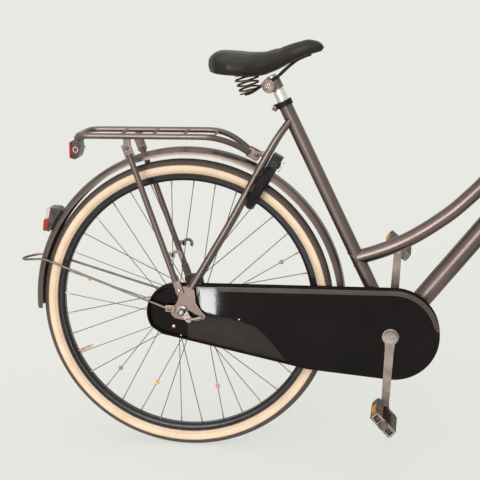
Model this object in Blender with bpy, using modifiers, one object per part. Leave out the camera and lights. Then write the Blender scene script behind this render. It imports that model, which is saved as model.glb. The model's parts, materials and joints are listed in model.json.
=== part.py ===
"""A step-through city bicycle with a closed chain case, carrier and ring lock.

Metres, +Z up. +X is the way it rides and +Y is its left side, so the chain is at -Y.
The origin is on the ground, straight under the rear axle. Points are (x, y, z).
"""

import math

import bpy
import bmesh
from mathutils import Matrix, Vector

# Clearances
GAP = 0.0003
SIDES = (-1, 1)
SIDE_NAMES = {-1: "right", 1: "left"}

# Wheels: tyre size 40-622
WHEEL_BASE = 1.110
TYRE_RADIUS = 0.351
TYRE_HALF_WIDTH = 0.0195
TYRE_WALL = 0.0028
TREAD_FLAT = 0.007
RIM_LIP_RADIUS = 0.317
RIM_DEPTH = 0.0165
RIM_HALF_WIDTH = 0.0125
RIM_WALL = 0.0018
RIM_WELL_DEPTH = 0.0130
RIM_WELL_HALF_WIDTH = 0.0070
WHEEL_FACETS = 32
SPOKE_COUNT = 36
SPOKE_RADIUS = 0.0010
SPOKE_PHASE = math.radians(56.7)
SPOKE_LEAN = math.radians(70.0)
SPOKE_SHIFT = 0.0013

# Rear hub, axle and drop-outs
REAR_DROPOUT_INNER = 0.060
REAR_DROPOUT_THICK = 0.005
REAR_AXLE_RADIUS = 0.005
REAR_AXLE_END = 0.088
REAR_FLANGE_RADIUS = 0.033
REAR_FLANGE_Y = {-1: -0.026, 1: 0.030}
REAR_HUB_RADIUS = 0.020
FLANGE_THICK = 0.0052
BRAKE_END = 0.050
AXLE_COLLAR_RADIUS = 0.009

# Front hub and axle
FRONT_DROPOUT_INNER = 0.050
FRONT_DROPOUT_THICK = 0.004
FRONT_AXLE_RADIUS = 0.0045
FRONT_FLANGE_RADIUS = 0.020
FRONT_FLANGE_Y = 0.033
FRONT_HUB_RADIUS = 0.014

# Drive
CHAIN_PITCH = 0.0127
CHAINRING_TEETH = 42
SPROCKET_TEETH = 18
CHAIN_LINE = 0.0445
CHAIN_HALF_WIDTH = 0.0040
CHAIN_HALF_HEIGHT = 0.0041
DISC_THICK = 0.0026
CRANK_LENGTH = 0.170
CRANK_TILT = math.radians(3.1)
SPINDLE_RADIUS = 0.0085
ARM_INNER = 0.0735
ARM_THICK = 0.012
ARM_BOSS_RADIUS = 0.0155
ARM_EYE_RADIUS = 0.0125
CHAINRING_BOSS_RADIUS = 0.0195
PEDAL_SPINDLE_RADIUS = 0.0055
PEDAL_INNER = 0.0925
PEDAL_WIDTH = 0.108
PEDAL_LENGTH = 0.064
PEDAL_THICK = 0.023
PEDAL_BARREL_RADIUS = 0.0112
PEDAL_TILT = {-1: math.radians(-47.0), 1: math.radians(-38.0)}

# Frame
BOTTOM_BRACKET = Vector((0.4877, 0.0, 0.3075))
SHELL_RADIUS = 0.0205
SHELL_HALF_WIDTH = 0.034
SEAT_ANGLE = math.radians(64.0)
SEAT_TUBE_LENGTH = 0.593
SEAT_TUBE_RADIUS = 0.016
DOWN_TUBE_RADIUS = 0.0233
DOWN_TUBE_ANGLE = math.radians(51.7)
DOWN_TUBE_AHEAD = 0.0090
TOP_TUBE_RADIUS = 0.0173
HEAD_ANGLE = math.radians(67.0)
FORK_RAKE = 0.065
HEAD_TUBE_START = 0.4235
HEAD_TUBE_LENGTH = 0.190
HEAD_TUBE_RADIUS = 0.0185
STEERER_RADIUS = 0.0127
QUILL_RADIUS = 0.0110
CHAIN_STAY_RADIUS = 0.0085
SEAT_STAY_RADIUS = 0.0080
STAY_HALF_SPREAD = 0.0375

# Saddle and its post
POST_RADIUS = 0.0135
POST_NECK_RADIUS = 0.0110
POST_START = 0.390
POST_SHOULDER = 0.6205
POST_END = 0.658
RAIL_RADIUS = 0.0035
RAIL_HALF_SPREAD = 0.0245
SPRING_WIRE_RADIUS = 0.0019
SPRING_FOOT_RADIUS = 0.0145
SPRING_TOP_RADIUS = 0.0205
SPRING_TURNS = 3.0
SPRING_Y = 0.052

# Mudguards
GUARD_RADIUS = 0.375
GUARD_DEPTH = 0.017
GUARD_HALF_WIDTH = 0.0265
GUARD_SHOULDER = 0.0045
GUARD_LEAN_IN = 0.0055
GUARD_WALL = 0.0014
GUARD_LIFT = Vector((0.006, 0.0, 0.005))
GUARD_WIRE_RADIUS = 0.0024

# Carrier
DECK_HEIGHT = 0.7625
DECK_HALF_WIDTH = 0.065
DECK_TUBE_RADIUS = 0.00625
DECK_ROD_RADIUS = 0.0035
DECK_ROD_FIRST_X = -0.154
DECK_ROD_PITCH = 0.0742
DECK_ROD_COUNT = 4
LEG_RADIUS = 0.0070
LEG_TOP = Vector((-0.1270, 0.0, 0.7345))
LEG_FOOT = Vector((-0.0075, 0.0, 0.3995))

# Chain case
CASE_CENTRE = Vector((0.494, 0.0, 0.309))
CASE_RADIUS = 0.1065
CASE_REAR_CENTRE = Vector((-0.020, 0.0, 0.345))
CASE_REAR_RADIUS = 0.0665
CASE_INNER_Y = -0.0335
CASE_OUTER_Y = -0.0685
CASE_WALL = 0.0016
CASE_SLOPE = math.radians(11.8)
CASE_SLOPE_POINT = Vector((-0.001, 0.0, 0.2815))
CASE_CAP_Y = -0.0540
CASE_BAND_WIDTH = 0.011
CASE_BAND_THICK = 0.002
CASE_LIP_Y = -0.0615

# Ring lock
LOCK_ANGLE = math.radians(60.5)
LOCK_POINT = Vector((0.148, 0.0, 0.5896))
LOCK_CENTRE_RADIUS = 0.339
LOCK_RING_RADIUS = 0.055
LOCK_CASE_RADIUS = 0.0095
SHACKLE_RADIUS = 0.0040
LOCK_GAP_HALF_ANGLE = 30.0

# Handlebar
BAR_RADIUS = 0.0110
BAR_CENTRE = Vector((0.835, 0.0, 1.014))
GRIP_RADIUS = 0.0165
GRIP_LENGTH = 0.125

COLOURS = {
    "frame_paint": ((0.115, 0.092, 0.085), 0.38, 0.75),
    "black_paint": ((0.012, 0.011, 0.012), 0.35, 0.0),
    "case_black": ((0.010, 0.010, 0.012), 0.18, 0.0),
    "case_band": ((0.060, 0.050, 0.047), 0.50, 0.0),
    "steel": ((0.62, 0.60, 0.58), 0.30, 1.0),
    "aluminium": ((0.55, 0.52, 0.49), 0.38, 1.0),
    "rust_black": ((0.055, 0.035, 0.028), 0.60, 0.5),
    "rim_black": ((0.020, 0.019, 0.021), 0.30, 0.2),
    "tyre_cream": ((0.78, 0.66, 0.48), 0.75, 0.0),
    "saddle_black": ((0.016, 0.015, 0.016), 0.45, 0.0),
    "grip_black": ((0.018, 0.018, 0.018), 0.70, 0.0),
    "lamp_grey": ((0.090, 0.085, 0.088), 0.45, 0.0),
    "lens_red": ((0.45, 0.02, 0.02), 0.15, 0.0),
    "lens_clear": ((0.80, 0.82, 0.84), 0.08, 0.0),
    "pedal_grey": ((0.090, 0.075, 0.065), 0.60, 0.0),
    "stay_brown": ((0.26, 0.21, 0.19), 0.35, 0.9),
}


def collection(name):
    group = bpy.data.collections.new(name)
    bpy.context.scene.collection.children.link(group)
    return group


for leftover in list(bpy.data.objects):
    bpy.data.objects.remove(leftover, do_unlink=True)
BICYCLE = collection("bicycle")


def material(name):
    colour, roughness, metallic = COLOURS[name]
    found = bpy.data.materials.get(name)
    if found:
        return found
    made = bpy.data.materials.new(name)
    made.use_nodes = True
    shader = made.node_tree.nodes["Principled BSDF"]
    shader.inputs["Base Color"].default_value = (*colour, 1.0)
    shader.inputs["Roughness"].default_value = roughness
    shader.inputs["Metallic"].default_value = metallic
    return made


def shape(mesh):
    made = bpy.data.objects.new("shape", mesh)
    BICYCLE.objects.link(made)
    return made


def shape_from(bm, place=None):
    if place is not None:
        bmesh.ops.transform(bm, matrix=place, verts=bm.verts)
    mesh = bpy.data.meshes.new("shape")
    bm.to_mesh(mesh)
    bm.free()
    return shape(mesh)


def baked(source, weld=0.0):
    """The evaluated shape of an object as a new mesh object, with its loose caps welded."""
    bpy.context.view_layer.update()
    graph = bpy.context.evaluated_depsgraph_get()
    mesh = bpy.data.meshes.new_from_object(source.evaluated_get(graph))
    bm = bmesh.new()
    bm.from_mesh(mesh)
    if weld:
        bmesh.ops.remove_doubles(bm, verts=bm.verts, dist=weld)
        bmesh.ops.recalc_face_normals(bm, faces=bm.faces)
    bm.to_mesh(mesh)
    bm.free()
    made = shape(mesh)
    made.matrix_world = source.matrix_world
    bpy.data.objects.remove(source, do_unlink=True)
    made.data.transform(made.matrix_world)
    made.matrix_world = Matrix()
    return made


def combined(base, others, operation):
    for other in others:
        step = base.modifiers.new(operation.title(), "BOOLEAN")
        step.operation = operation
        step.solver = "EXACT"
        step.object = other
    made = baked(base)
    for other in others:
        bpy.data.objects.remove(other, do_unlink=True)
    return made


def union(base, *others):
    return combined(base, others, "UNION")


def cut(base, *others):
    return combined(base, others, "DIFFERENCE")


def rod(start, end, radius, sides=12, end_radius=None):
    """A round bar between two points."""
    axis = Vector(end) - Vector(start)
    bm = bmesh.new()
    bmesh.ops.create_cone(bm, cap_ends=True, segments=sides, radius1=radius,
                          radius2=radius if end_radius is None else end_radius,
                          depth=axis.length)
    turn = axis.to_track_quat("Z", "Y").to_matrix().to_4x4()
    return shape_from(bm, Matrix.Translation((Vector(start) + Vector(end)) / 2) @ turn)


def bore(start, end, radius, sides=12):
    """A cutter whose flats, not its corners, stand one gap off a bar of that radius."""
    return rod(start, end, (radius + GAP) / math.cos(math.pi / sides), sides)


def across(centre, y0, y1, radius, sides=12):
    return rod((centre.x, y0, centre.z), (centre.x, y1, centre.z), radius, sides)


def across_bore(centre, y0, y1, radius, sides=12):
    return bore((centre.x, y0, centre.z), (centre.x, y1, centre.z), radius, sides)


def box(low, high, turn=None, about=None):
    """A block between two corners, turned about the Y axis through a point."""
    low, high = Vector(low), Vector(high)
    bm = bmesh.new()
    bmesh.ops.create_cube(bm, size=1.0)
    size = high - low
    place = Matrix.Translation((low + high) / 2) @ Matrix.Diagonal((*size, 1.0))
    if turn is not None:
        about = Vector(about)
        swing = Matrix.Rotation(turn, 4, "Y")
        place = Matrix.Translation(about) @ swing @ Matrix.Translation(-about) @ place
    return shape_from(bm, place)


def tube(points, radius, sides=8, thickness=None, closed=False):
    """A round tube along points; thickness holds one radius factor for each point."""
    curve = bpy.data.curves.new("path", "CURVE")
    curve.dimensions = "3D"
    curve.bevel_depth = radius
    curve.bevel_resolution = (sides - 4) // 2
    curve.render_resolution_u = 0
    curve.use_fill_caps = not closed
    line = curve.splines.new("POLY")
    line.points.add(len(points) - 1)
    for index, point in enumerate(points):
        line.points[index].co = (*point, 1.0)
        if thickness:
            line.points[index].radius = thickness[index]
    line.use_cyclic_u = closed
    path = bpy.data.objects.new("path", curve)
    BICYCLE.objects.link(path)
    return baked(path, weld=0.00001)


def through(points, steps=3):
    """Points on a smooth line through the given ones (Catmull-Rom)."""
    points = [Vector(point) for point in points]
    padded = [2 * points[0] - points[1], *points, 2 * points[-1] - points[-2]]
    smooth = []
    for index in range(1, len(padded) - 2):
        a, b, c, d = padded[index - 1:index + 3]
        for step in range(steps):
            t = step / steps
            smooth.append(0.5 * (2 * b + (c - a) * t + (2 * a - 5 * b + 4 * c - d) * t ** 2
                                 + (3 * b - a - 3 * c + d) * t ** 3))
    smooth.append(points[-1])
    return smooth


def arc(centre, radius, start, end, steps):
    """Points in the side view, at angles in degrees from +X towards +Z."""
    points = []
    for step in range(steps + 1):
        angle = math.radians(start + (end - start) * step / steps)
        points.append((centre.x + radius * math.cos(angle), centre.z + radius * math.sin(angle)))
    return points


def plate(outline, y, thickness, holes=(), place=None):
    """A flat plate: its outline in (x, z), its middle plane at y."""
    curve = bpy.data.curves.new("outline", "CURVE")
    curve.dimensions = "2D"
    curve.fill_mode = "BOTH"
    curve.extrude = thickness / 2
    curve.render_resolution_u = 0
    for loop in (outline, *holes):
        line = curve.splines.new("POLY")
        line.points.add(len(loop) - 1)
        for index, (x, z) in enumerate(loop):
            line.points[index].co = (x, z, 0.0, 1.0)
        line.use_cyclic_u = True
    flat = bpy.data.objects.new("outline", curve)
    BICYCLE.objects.link(flat)
    upright = Matrix.Translation((0.0, y, 0.0)) @ Matrix.Rotation(math.pi / 2, 4, "X")
    flat.matrix_world = (place or Matrix()) @ upright
    return baked(flat, weld=0.00001)


def turned(profile, origin, axis, steps=24, phase=0.0):
    """A closed profile of (radius, distance along the axis) turned about the axis."""
    mesh = bpy.data.meshes.new("profile")
    ends_on_axis = profile[0][0] == 0.0 and profile[-1][0] == 0.0
    edges = [(index, index + 1) for index in range(len(profile) - 1)]
    if not ends_on_axis:
        edges.append((len(profile) - 1, 0))
    mesh.from_pydata([(radius, 0.0, along) for radius, along in profile], edges, [])
    half = shape(mesh)
    lathe = half.modifiers.new("Screw", "SCREW")
    lathe.steps = steps
    lathe.render_steps = steps
    lathe.use_merge_vertices = True
    lathe.merge_threshold = 0.00001
    turn = Vector(axis).to_track_quat("Z", "Y").to_matrix().to_4x4()
    half.matrix_world = Matrix.Translation(origin) @ turn @ Matrix.Rotation(phase, 4, "Z")
    return baked(half, weld=0.00001)


def ring(inner, outer, start, end, origin, axis, steps=16):
    """A plain ring that slides over a bar of the inner radius with one gap."""
    hole = (inner + GAP) / math.cos(math.pi / steps)
    return turned([(hole, start), (outer, start), (outer, end), (hole, end)],
                  origin, axis, steps)


def circle(centre, radius, steps, phase=0.0):
    points = arc(centre, radius, phase, phase + 360.0, steps)
    return points[:-1]


PIECES = {}


def piece(name, made, finish, carrier=None):
    """Names a finished solid, gives it its material and hangs it on its carrier."""
    made.name = name
    made.data.name = name
    made.data.materials.clear()
    made.data.materials.append(material(finish))
    made.data.shade_smooth()
    made.data.set_sharp_from_angle(angle=math.radians(40.0))
    if carrier is not None:
        made.data.transform(carrier.matrix_world.inverted())
        made.parent = carrier
    PIECES[name] = made
    return made


def pivot(name, point, carrier=None):
    """An empty on a joint's axis; what moves with the joint is parented to it."""
    empty = bpy.data.objects.new(name, None)
    BICYCLE.objects.link(empty)
    empty.location = Vector(point)
    if carrier is not None:
        empty.location = Vector(point) - carrier.matrix_world.translation
        empty.parent = carrier
    bpy.context.view_layer.update()
    return empty


# Places worked out from the driving dimensions
REAR_AXLE = Vector((0.0, 0.0, TYRE_RADIUS))
FRONT_AXLE = Vector((WHEEL_BASE, 0.0, TYRE_RADIUS))
SEAT_UP = Vector((-math.cos(SEAT_ANGLE), 0.0, math.sin(SEAT_ANGLE)))
HEAD_UP = Vector((-math.cos(HEAD_ANGLE), 0.0, math.sin(HEAD_ANGLE)))
HEAD_FORWARD = Vector((math.sin(HEAD_ANGLE), 0.0, math.cos(HEAD_ANGLE)))
HEAD_FOOT = FRONT_AXLE - HEAD_FORWARD * FORK_RAKE
LEFT = Vector((0.0, 1.0, 0.0))
UP = Vector((0.0, 0.0, 1.0))


def on_seat_tube(distance):
    return BOTTOM_BRACKET + SEAT_UP * distance


def on_head_axis(distance):
    return HEAD_FOOT + HEAD_UP * distance


def shifted(point, y):
    return Vector((point[0], y, point[-1]))


SPROCKET_PITCH_RADIUS = CHAIN_PITCH / (2 * math.sin(math.pi / SPROCKET_TEETH))
CHAINRING_PITCH_RADIUS = CHAIN_PITCH / (2 * math.sin(math.pi / CHAINRING_TEETH))
CRANK_DOWN = Vector((-math.sin(CRANK_TILT), 0.0, -math.cos(CRANK_TILT)))
PEDAL_AXES = {-1: BOTTOM_BRACKET + CRANK_DOWN * CRANK_LENGTH,
              1: BOTTOM_BRACKET - CRANK_DOWN * CRANK_LENGTH}
HEAD_TUBE_END = HEAD_TUBE_START + HEAD_TUBE_LENGTH
DROPOUT_OUTER = REAR_DROPOUT_INNER + REAR_DROPOUT_THICK
GUARD_CENTRE = REAR_AXLE + GUARD_LIFT
LOCK_OUT = Vector((math.cos(LOCK_ANGLE), 0.0, math.sin(LOCK_ANGLE)))
LOCK_NORMAL = LEFT.cross(LOCK_OUT)


def lock_centre():
    """Where the lock's plane is its centre's radius away from the rear axle."""
    offset = LOCK_POINT - REAR_AXLE
    half = offset.dot(LOCK_OUT)
    reach = math.sqrt(half ** 2 - offset.length_squared + LOCK_CENTRE_RADIUS ** 2) - half
    return LOCK_POINT + LOCK_OUT * reach


LOCK_CENTRE = lock_centre()


# Frame

CHAIN_STAY_PATH = [(0.470, 0.0240, 0.3085), (0.400, 0.0285, 0.3170), (0.052, 0.0525, 0.3465)]
SEAT_STAY_LINE = [(0.0200, 0.0625, 0.4050), (0.1075, 0.0480, 0.5555), (0.1460, 0.0405, 0.6290),
                  (0.1860, STAY_HALF_SPREAD, 0.7040), (0.2150, 0.0300, 0.7560),
                  (0.2440, 0.0120, 0.7960)]
TOP_TUBE_LINE = [(0.4060, 0.0, 0.4770), (0.4560, 0.0, 0.4930), (0.5060, 0.0, 0.5145),
                 (0.5560, 0.0, 0.5435), (0.6210, 0.0, 0.5905), (0.6860, 0.0, 0.6535),
                 (0.7550, 0.0, 0.7430), (0.8276, 0.0, 0.8500)]
DROPOUT_OUTLINE = [(-0.016, 0.366), (-0.028, 0.355), (-0.029, 0.341), (-0.019, 0.331),
                   (0.004, 0.3275), (0.034, 0.3265), (0.052, 0.3310), (0.055, 0.3400),
                   (0.046, 0.3480), (0.031, 0.3700), (0.0295, 0.3900), (0.026, 0.4140),
                   (0.002, 0.4110), (-0.017, 0.4080), (-0.018, 0.3940), (-0.009, 0.3820)]
AXLE_SLOT = [(-0.0054, 0.3470), (-0.0054, 0.3550), (-0.003, 0.3565), (0.006, 0.3565),
             (0.036, 0.3400), (0.070, 0.3300), (0.064, 0.3180), (0.030, 0.3290),
             (0.004, 0.3455), (-0.003, 0.3455)]


def on_side(points, side):
    return [(x, side * y, z) for x, y, z in points]


def seat_stay(side):
    return tube(on_side(SEAT_STAY_LINE, side), SEAT_STAY_RADIUS, sides=8)


def dropout(side):
    y = side * (REAR_DROPOUT_INNER + REAR_DROPOUT_THICK / 2)
    return plate(DROPOUT_OUTLINE, y, REAR_DROPOUT_THICK)


def stay_point(height, side):
    """A point on the seat stay's straight part, at a height."""
    low, high = Vector(SEAT_STAY_LINE[2]), Vector(SEAT_STAY_LINE[3])
    point = low + (high - low) * (height - low.z) / (high.z - low.z)
    return shifted(point, side * point.y)


BRIDGE_HEIGHT = 0.712
BRIDGE = shifted(stay_point(BRIDGE_HEIGHT, 1), 0.0)
BRIDGE_RADIUS = 0.007
CARRIER_TAB_HALF_WIDTH = 0.010
STAND_PLATE_Z = (0.3025, 0.3085)
STAND_PIVOT = Vector((0.420, 0.0, 0.283))
STAND_BLOCK_HALF = Vector((0.013, 0.012, 0.013))


def make_frame():
    shell = across(BOTTOM_BRACKET, -SHELL_HALF_WIDTH, SHELL_HALF_WIDTH, SHELL_RADIUS, 16)
    seat_tube = rod(BOTTOM_BRACKET, on_seat_tube(SEAT_TUBE_LENGTH), SEAT_TUBE_RADIUS, 12)
    down_up = Vector((math.cos(DOWN_TUBE_ANGLE), 0.0, math.sin(DOWN_TUBE_ANGLE)))
    # The down tube ends on the head axis
    foot = BOTTOM_BRACKET + Vector((DOWN_TUBE_AHEAD, 0.0, 0.0))
    reach = (HEAD_FOOT - foot).cross(HEAD_UP).y / down_up.cross(HEAD_UP).y
    down_tube = rod(foot, foot + down_up * reach, DOWN_TUBE_RADIUS, 14)
    top_tube = tube(through(TOP_TUBE_LINE, steps=2), TOP_TUBE_RADIUS, sides=10)
    head_tube = rod(on_head_axis(HEAD_TUBE_START), on_head_axis(HEAD_TUBE_END),
                    HEAD_TUBE_RADIUS, 14)
    bridge = rod(stay_point(BRIDGE_HEIGHT, -1), stay_point(BRIDGE_HEIGHT, 1), BRIDGE_RADIUS, 8)
    inward = (GUARD_CENTRE - BRIDGE).normalized()
    guard_bolt = rod(BRIDGE, GUARD_CENTRE - inward * (GUARD_RADIUS + GAP), 0.005, 8)
    carrier_tab = box((0.148, -CARRIER_TAB_HALF_WIDTH, 0.711),
                      (BRIDGE.x, CARRIER_TAB_HALF_WIDTH, 0.722))
    stand_plate = box((STAND_PIVOT.x - 0.020, -0.028, STAND_PLATE_Z[0]),
                      (STAND_PIVOT.x + 0.020, 0.028, STAND_PLATE_Z[1]))
    stand_block = box(STAND_PIVOT - STAND_BLOCK_HALF,
                      (STAND_PIVOT.x + STAND_BLOCK_HALF.x, STAND_BLOCK_HALF.y,
                       STAND_PLATE_Z[0] + 0.002))
    parts = [seat_tube, down_tube, top_tube, head_tube, bridge, guard_bolt, carrier_tab,
             stand_plate, stand_block]
    for side in SIDES:
        parts.append(tube(on_side(CHAIN_STAY_PATH, side), CHAIN_STAY_RADIUS, sides=8))
        parts.append(seat_stay(side))
        parts.append(dropout(side))
    frame = union(shell, *parts)
    slots = []
    for side in SIDES:
        y = side * (REAR_DROPOUT_INNER + REAR_DROPOUT_THICK / 2)
        slots.append(plate(AXLE_SLOT, y, REAR_DROPOUT_THICK + 0.004))
    return cut(
        frame,
        across_bore(BOTTOM_BRACKET, -0.05, 0.05, SHELL_RADIUS - 0.003, 16),
        bore(on_seat_tube(POST_START - 0.03), on_seat_tube(SEAT_TUBE_LENGTH + 0.05),
             POST_RADIUS, 12),
        bore(on_head_axis(HEAD_TUBE_START - 0.03), on_head_axis(HEAD_TUBE_END + 0.03),
             HEAD_TUBE_RADIUS - 0.0040, 14),
        *slots)


# Bearings in the frame

def make_bottom_bracket():
    body = SHELL_RADIUS - 0.003
    inner = (SPINDLE_RADIUS + GAP) / math.cos(math.pi / 16)
    lip = SHELL_HALF_WIDTH + GAP
    end = lip + 0.0025
    return turned([(inner, -end), (SHELL_RADIUS - 0.001, -end), (SHELL_RADIUS - 0.001, -lip),
                   (body, -lip), (body, lip), (SHELL_RADIUS - 0.001, lip),
                   (SHELL_RADIUS - 0.001, end), (inner, end)],
                  BOTTOM_BRACKET, LEFT, 16)


HEADSET_HEIGHT = 0.0132


def headset_cup(start, direction):
    """A cup that reaches into the head tube from one of its ends."""
    inner = (STEERER_RADIUS + GAP) / math.cos(math.pi / 14)
    body = HEAD_TUBE_RADIUS - 0.0040
    outside = HEAD_TUBE_RADIUS + 0.004
    return turned([(inner, -0.010), (body, -0.010), (body, GAP), (outside, GAP),
                   (outside - 0.001, HEADSET_HEIGHT), (inner, HEADSET_HEIGHT)],
                  on_head_axis(start), direction, 14)


# Seat post, saddle and clamps

CLAMP_CENTRE = Vector((0.197, 0.0, 0.877))
CLAMP_DRUM_RADIUS = 0.0175
CLAMP_DRUM_HALF = RAIL_HALF_SPREAD - RAIL_RADIUS - GAP
CLAMP_CAP_INNER = RAIL_HALF_SPREAD + RAIL_RADIUS + GAP
SPRING_FOOT = Vector((0.150, SPRING_Y, 0.8640))
SPRING_LEAN = math.radians(12.0)
SPRING_HEIGHT = 0.0383
SPRING_SEAT_THICK = 0.0024


def make_seat_post():
    return turned([(0.0, 0.0), (POST_RADIUS, 0.0), (POST_RADIUS, POST_SHOULDER - POST_START),
                   (POST_NECK_RADIUS, POST_SHOULDER - POST_START + 0.0025),
                   (POST_NECK_RADIUS, POST_END - POST_START), (0.0, POST_END - POST_START)],
                  on_seat_tube(POST_START), SEAT_UP, 12)


def make_seat_clamp():
    top = SEAT_TUBE_LENGTH
    collar = ring(SEAT_TUBE_RADIUS, SEAT_TUBE_RADIUS + 0.0036, top - 0.0125, top + 0.0005,
                  BOTTOM_BRACKET, SEAT_UP, 16)
    back = Vector((-math.sin(SEAT_ANGLE), 0.0, -math.cos(SEAT_ANGLE)))
    lug = on_seat_tube(top - 0.0062) + back * (SEAT_TUBE_RADIUS + 0.0075)
    ear = box(lug - Vector((0.0055, 0.011, 0.0062)), lug + Vector((0.006, 0.011, 0.0062)),
              math.pi / 2 - SEAT_ANGLE, lug)
    bolt = across(lug, -0.0165, 0.0165, 0.0048, 8)
    keep_off = bore(on_seat_tube(top - 0.05), on_seat_tube(top + 0.05), SEAT_TUBE_RADIUS, 16)
    return union(collar, cut(union(ear, bolt), keep_off))


def make_saddle_clamp():
    collar = rod(on_seat_tube(POST_SHOULDER + 0.0030), on_seat_tube(POST_END - 0.006),
                 POST_NECK_RADIUS + 0.0045, 12)
    drum = across(CLAMP_CENTRE, -CLAMP_DRUM_HALF, CLAMP_DRUM_HALF, CLAMP_DRUM_RADIUS, 16)
    parts = [drum]
    for side in SIDES:
        parts.append(across(CLAMP_CENTRE, side * CLAMP_CAP_INNER,
                            side * (CLAMP_CAP_INNER + 0.0045), 0.0155, 12))
    parts.append(across(CLAMP_CENTRE, -CLAMP_CAP_INNER - 0.010, CLAMP_CAP_INNER + 0.010,
                        0.0040, 8))
    body = union(collar, *parts)
    return cut(body, bore(on_seat_tube(POST_SHOULDER - 0.03), on_seat_tube(POST_END + 0.05),
                          POST_NECK_RADIUS, 12),
               bore(on_seat_tube(POST_SHOULDER - 0.03), on_seat_tube(POST_SHOULDER + 0.0028),
                    POST_RADIUS, 12))


def make_saddle_rails():
    """One bent wire: from one spring seat through the clamp, round the nose and back."""
    half = [(0.146, -SPRING_Y, SPRING_FOOT.z - SPRING_SEAT_THICK - RAIL_RADIUS * 0.6),
            (0.159, -0.0445, 0.8625), (0.173, -0.0275, 0.8720), (0.180, -RAIL_HALF_SPREAD, 0.8775),
            (CLAMP_CENTRE.x, -RAIL_HALF_SPREAD, CLAMP_CENTRE.z + 0.0090),
            (0.215, -RAIL_HALF_SPREAD, 0.8960), (0.236, -0.0225, 0.9170),
            (0.262, -0.0185, 0.9375), (0.284, -0.0110, 0.9465)]
    nose = [(0.290, 0.0, 0.9475)]
    back = [(x, -y, z) for x, y, z in reversed(half)]
    wire = tube(half + nose + back, RAIL_RADIUS, sides=6)
    seats = []
    for side in SIDES:
        foot = shifted(SPRING_FOOT, side * SPRING_Y)
        up = Vector((-math.sin(SPRING_LEAN), 0.0, math.cos(SPRING_LEAN)))
        seats.append(rod(foot - up * (GAP + SPRING_SEAT_THICK), foot - up * GAP,
                         SPRING_FOOT_RADIUS + 0.002, 12))
    return union(wire, *seats)


def make_saddle_spring(side):
    """An open coil whose ends run straight for one wire diameter."""
    up = Vector((-math.sin(SPRING_LEAN), 0.0, math.cos(SPRING_LEAN)))
    ahead = LEFT.cross(up)
    foot = shifted(SPRING_FOOT, side * SPRING_Y)
    wire = 2 * SPRING_WIRE_RADIUS
    per_turn = 8
    count = round(SPRING_TURNS * per_turn)
    low, high = wire + SPRING_WIRE_RADIUS, SPRING_HEIGHT - wire - SPRING_WIRE_RADIUS
    points = []
    for step in range(count + 1):
        angle = 2 * math.pi * step / per_turn
        height = low + (high - low) * step / count
        radius = SPRING_FOOT_RADIUS + (SPRING_TOP_RADIUS - SPRING_FOOT_RADIUS) * step / count
        points.append(foot + up * height
                      + (ahead * math.cos(angle) + LEFT * math.sin(angle)) * radius)
    points.insert(0, points[0] - up * low)
    points.append(points[-1] + up * (SPRING_HEIGHT - high))
    pitch = (high - low) / SPRING_TURNS
    print(f"saddle spring: least gap between curls {1000 * (pitch - wire):.2f} mm")
    return tube(points, SPRING_WIRE_RADIUS, sides=6)


# Stations along the saddle: x, half width, top, skirt edge
SADDLE_STATIONS = [(0.061, 0.052, 0.934, 0.9120), (0.080, 0.083, 0.950, 0.9080),
                   (0.112, 0.096, 0.951, 0.9060), (0.150, 0.090, 0.9475, 0.9040),
                   (0.186, 0.068, 0.9490, 0.9035), (0.218, 0.045, 0.9590, 0.9150),
                   (0.250, 0.031, 0.9725, 0.9330), (0.284, 0.026, 0.9825, 0.9480),
                   (0.308, 0.020, 0.9780, 0.9545), (0.320, 0.012, 0.9680, 0.9560)]
# Round the half section: share of the half width, share of the height from skirt to top
SADDLE_SECTION = [(0.0, 1.0), (0.38, 0.985), (0.66, 0.925), (0.87, 0.76), (0.985, 0.50),
                  (1.0, 0.24), (0.95, 0.0), (0.80, 0.05), (0.0, 0.16)]


def make_saddle_cover():
    bm = bmesh.new()
    loops = []
    for x, half_width, top, skirt in SADDLE_STATIONS:
        right = [(x, -half_width * wide, skirt + (top - skirt) * high)
                 for wide, high in SADDLE_SECTION]
        left = [(x, -y, z) for x, y, z in reversed(right[1:-1])]
        loops.append([bm.verts.new(point) for point in right + left])
    for back, front in zip(loops, loops[1:]):
        for index in range(len(back)):
            after = (index + 1) % len(back)
            bm.faces.new((back[index], back[after], front[after], front[index]))
    bm.faces.new(loops[0])
    bm.faces.new(loops[-1])
    bmesh.ops.recalc_face_normals(bm, faces=bm.faces)
    up = Vector((-math.sin(SPRING_LEAN), 0.0, math.cos(SPRING_LEAN)))
    pads = []
    for side in SIDES:
        foot = shifted(SPRING_FOOT, side * SPRING_Y)
        pads.append(rod(foot + up * (SPRING_HEIGHT + GAP), foot + up * (SPRING_HEIGHT + 0.012),
                        SPRING_TOP_RADIUS + 0.002, 12))
    return union(shape_from(bm), *pads)


# Wheels

def make_tyre(centre):
    """A clincher with its bottom facet flat on the ground."""
    crown = TYRE_RADIUS / math.cos(math.pi / WHEEL_FACETS)
    depth = 0.005
    lip = RIM_HALF_WIDTH - RIM_WALL
    bead = lip - (lip - RIM_WELL_HALF_WIDTH) * depth / RIM_WELL_DEPTH - GAP
    seat = RIM_LIP_RADIUS - depth
    outside = [(seat, bead), (RIM_LIP_RADIUS + 0.0012, lip - GAP), (0.3270, TYRE_HALF_WIDTH),
               (0.3410, 0.0175), (crown, TREAD_FLAT)]
    inside = [(0.3400, 0.0120), (seat, bead - TYRE_WALL)]
    profile = outside + [(r, -y) for r, y in reversed(outside)]
    profile += [(r, -y) for r, y in reversed(inside)] + inside
    half_facet = math.pi / WHEEL_FACETS
    return turned(profile, centre, LEFT, WHEEL_FACETS, half_facet)


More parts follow.
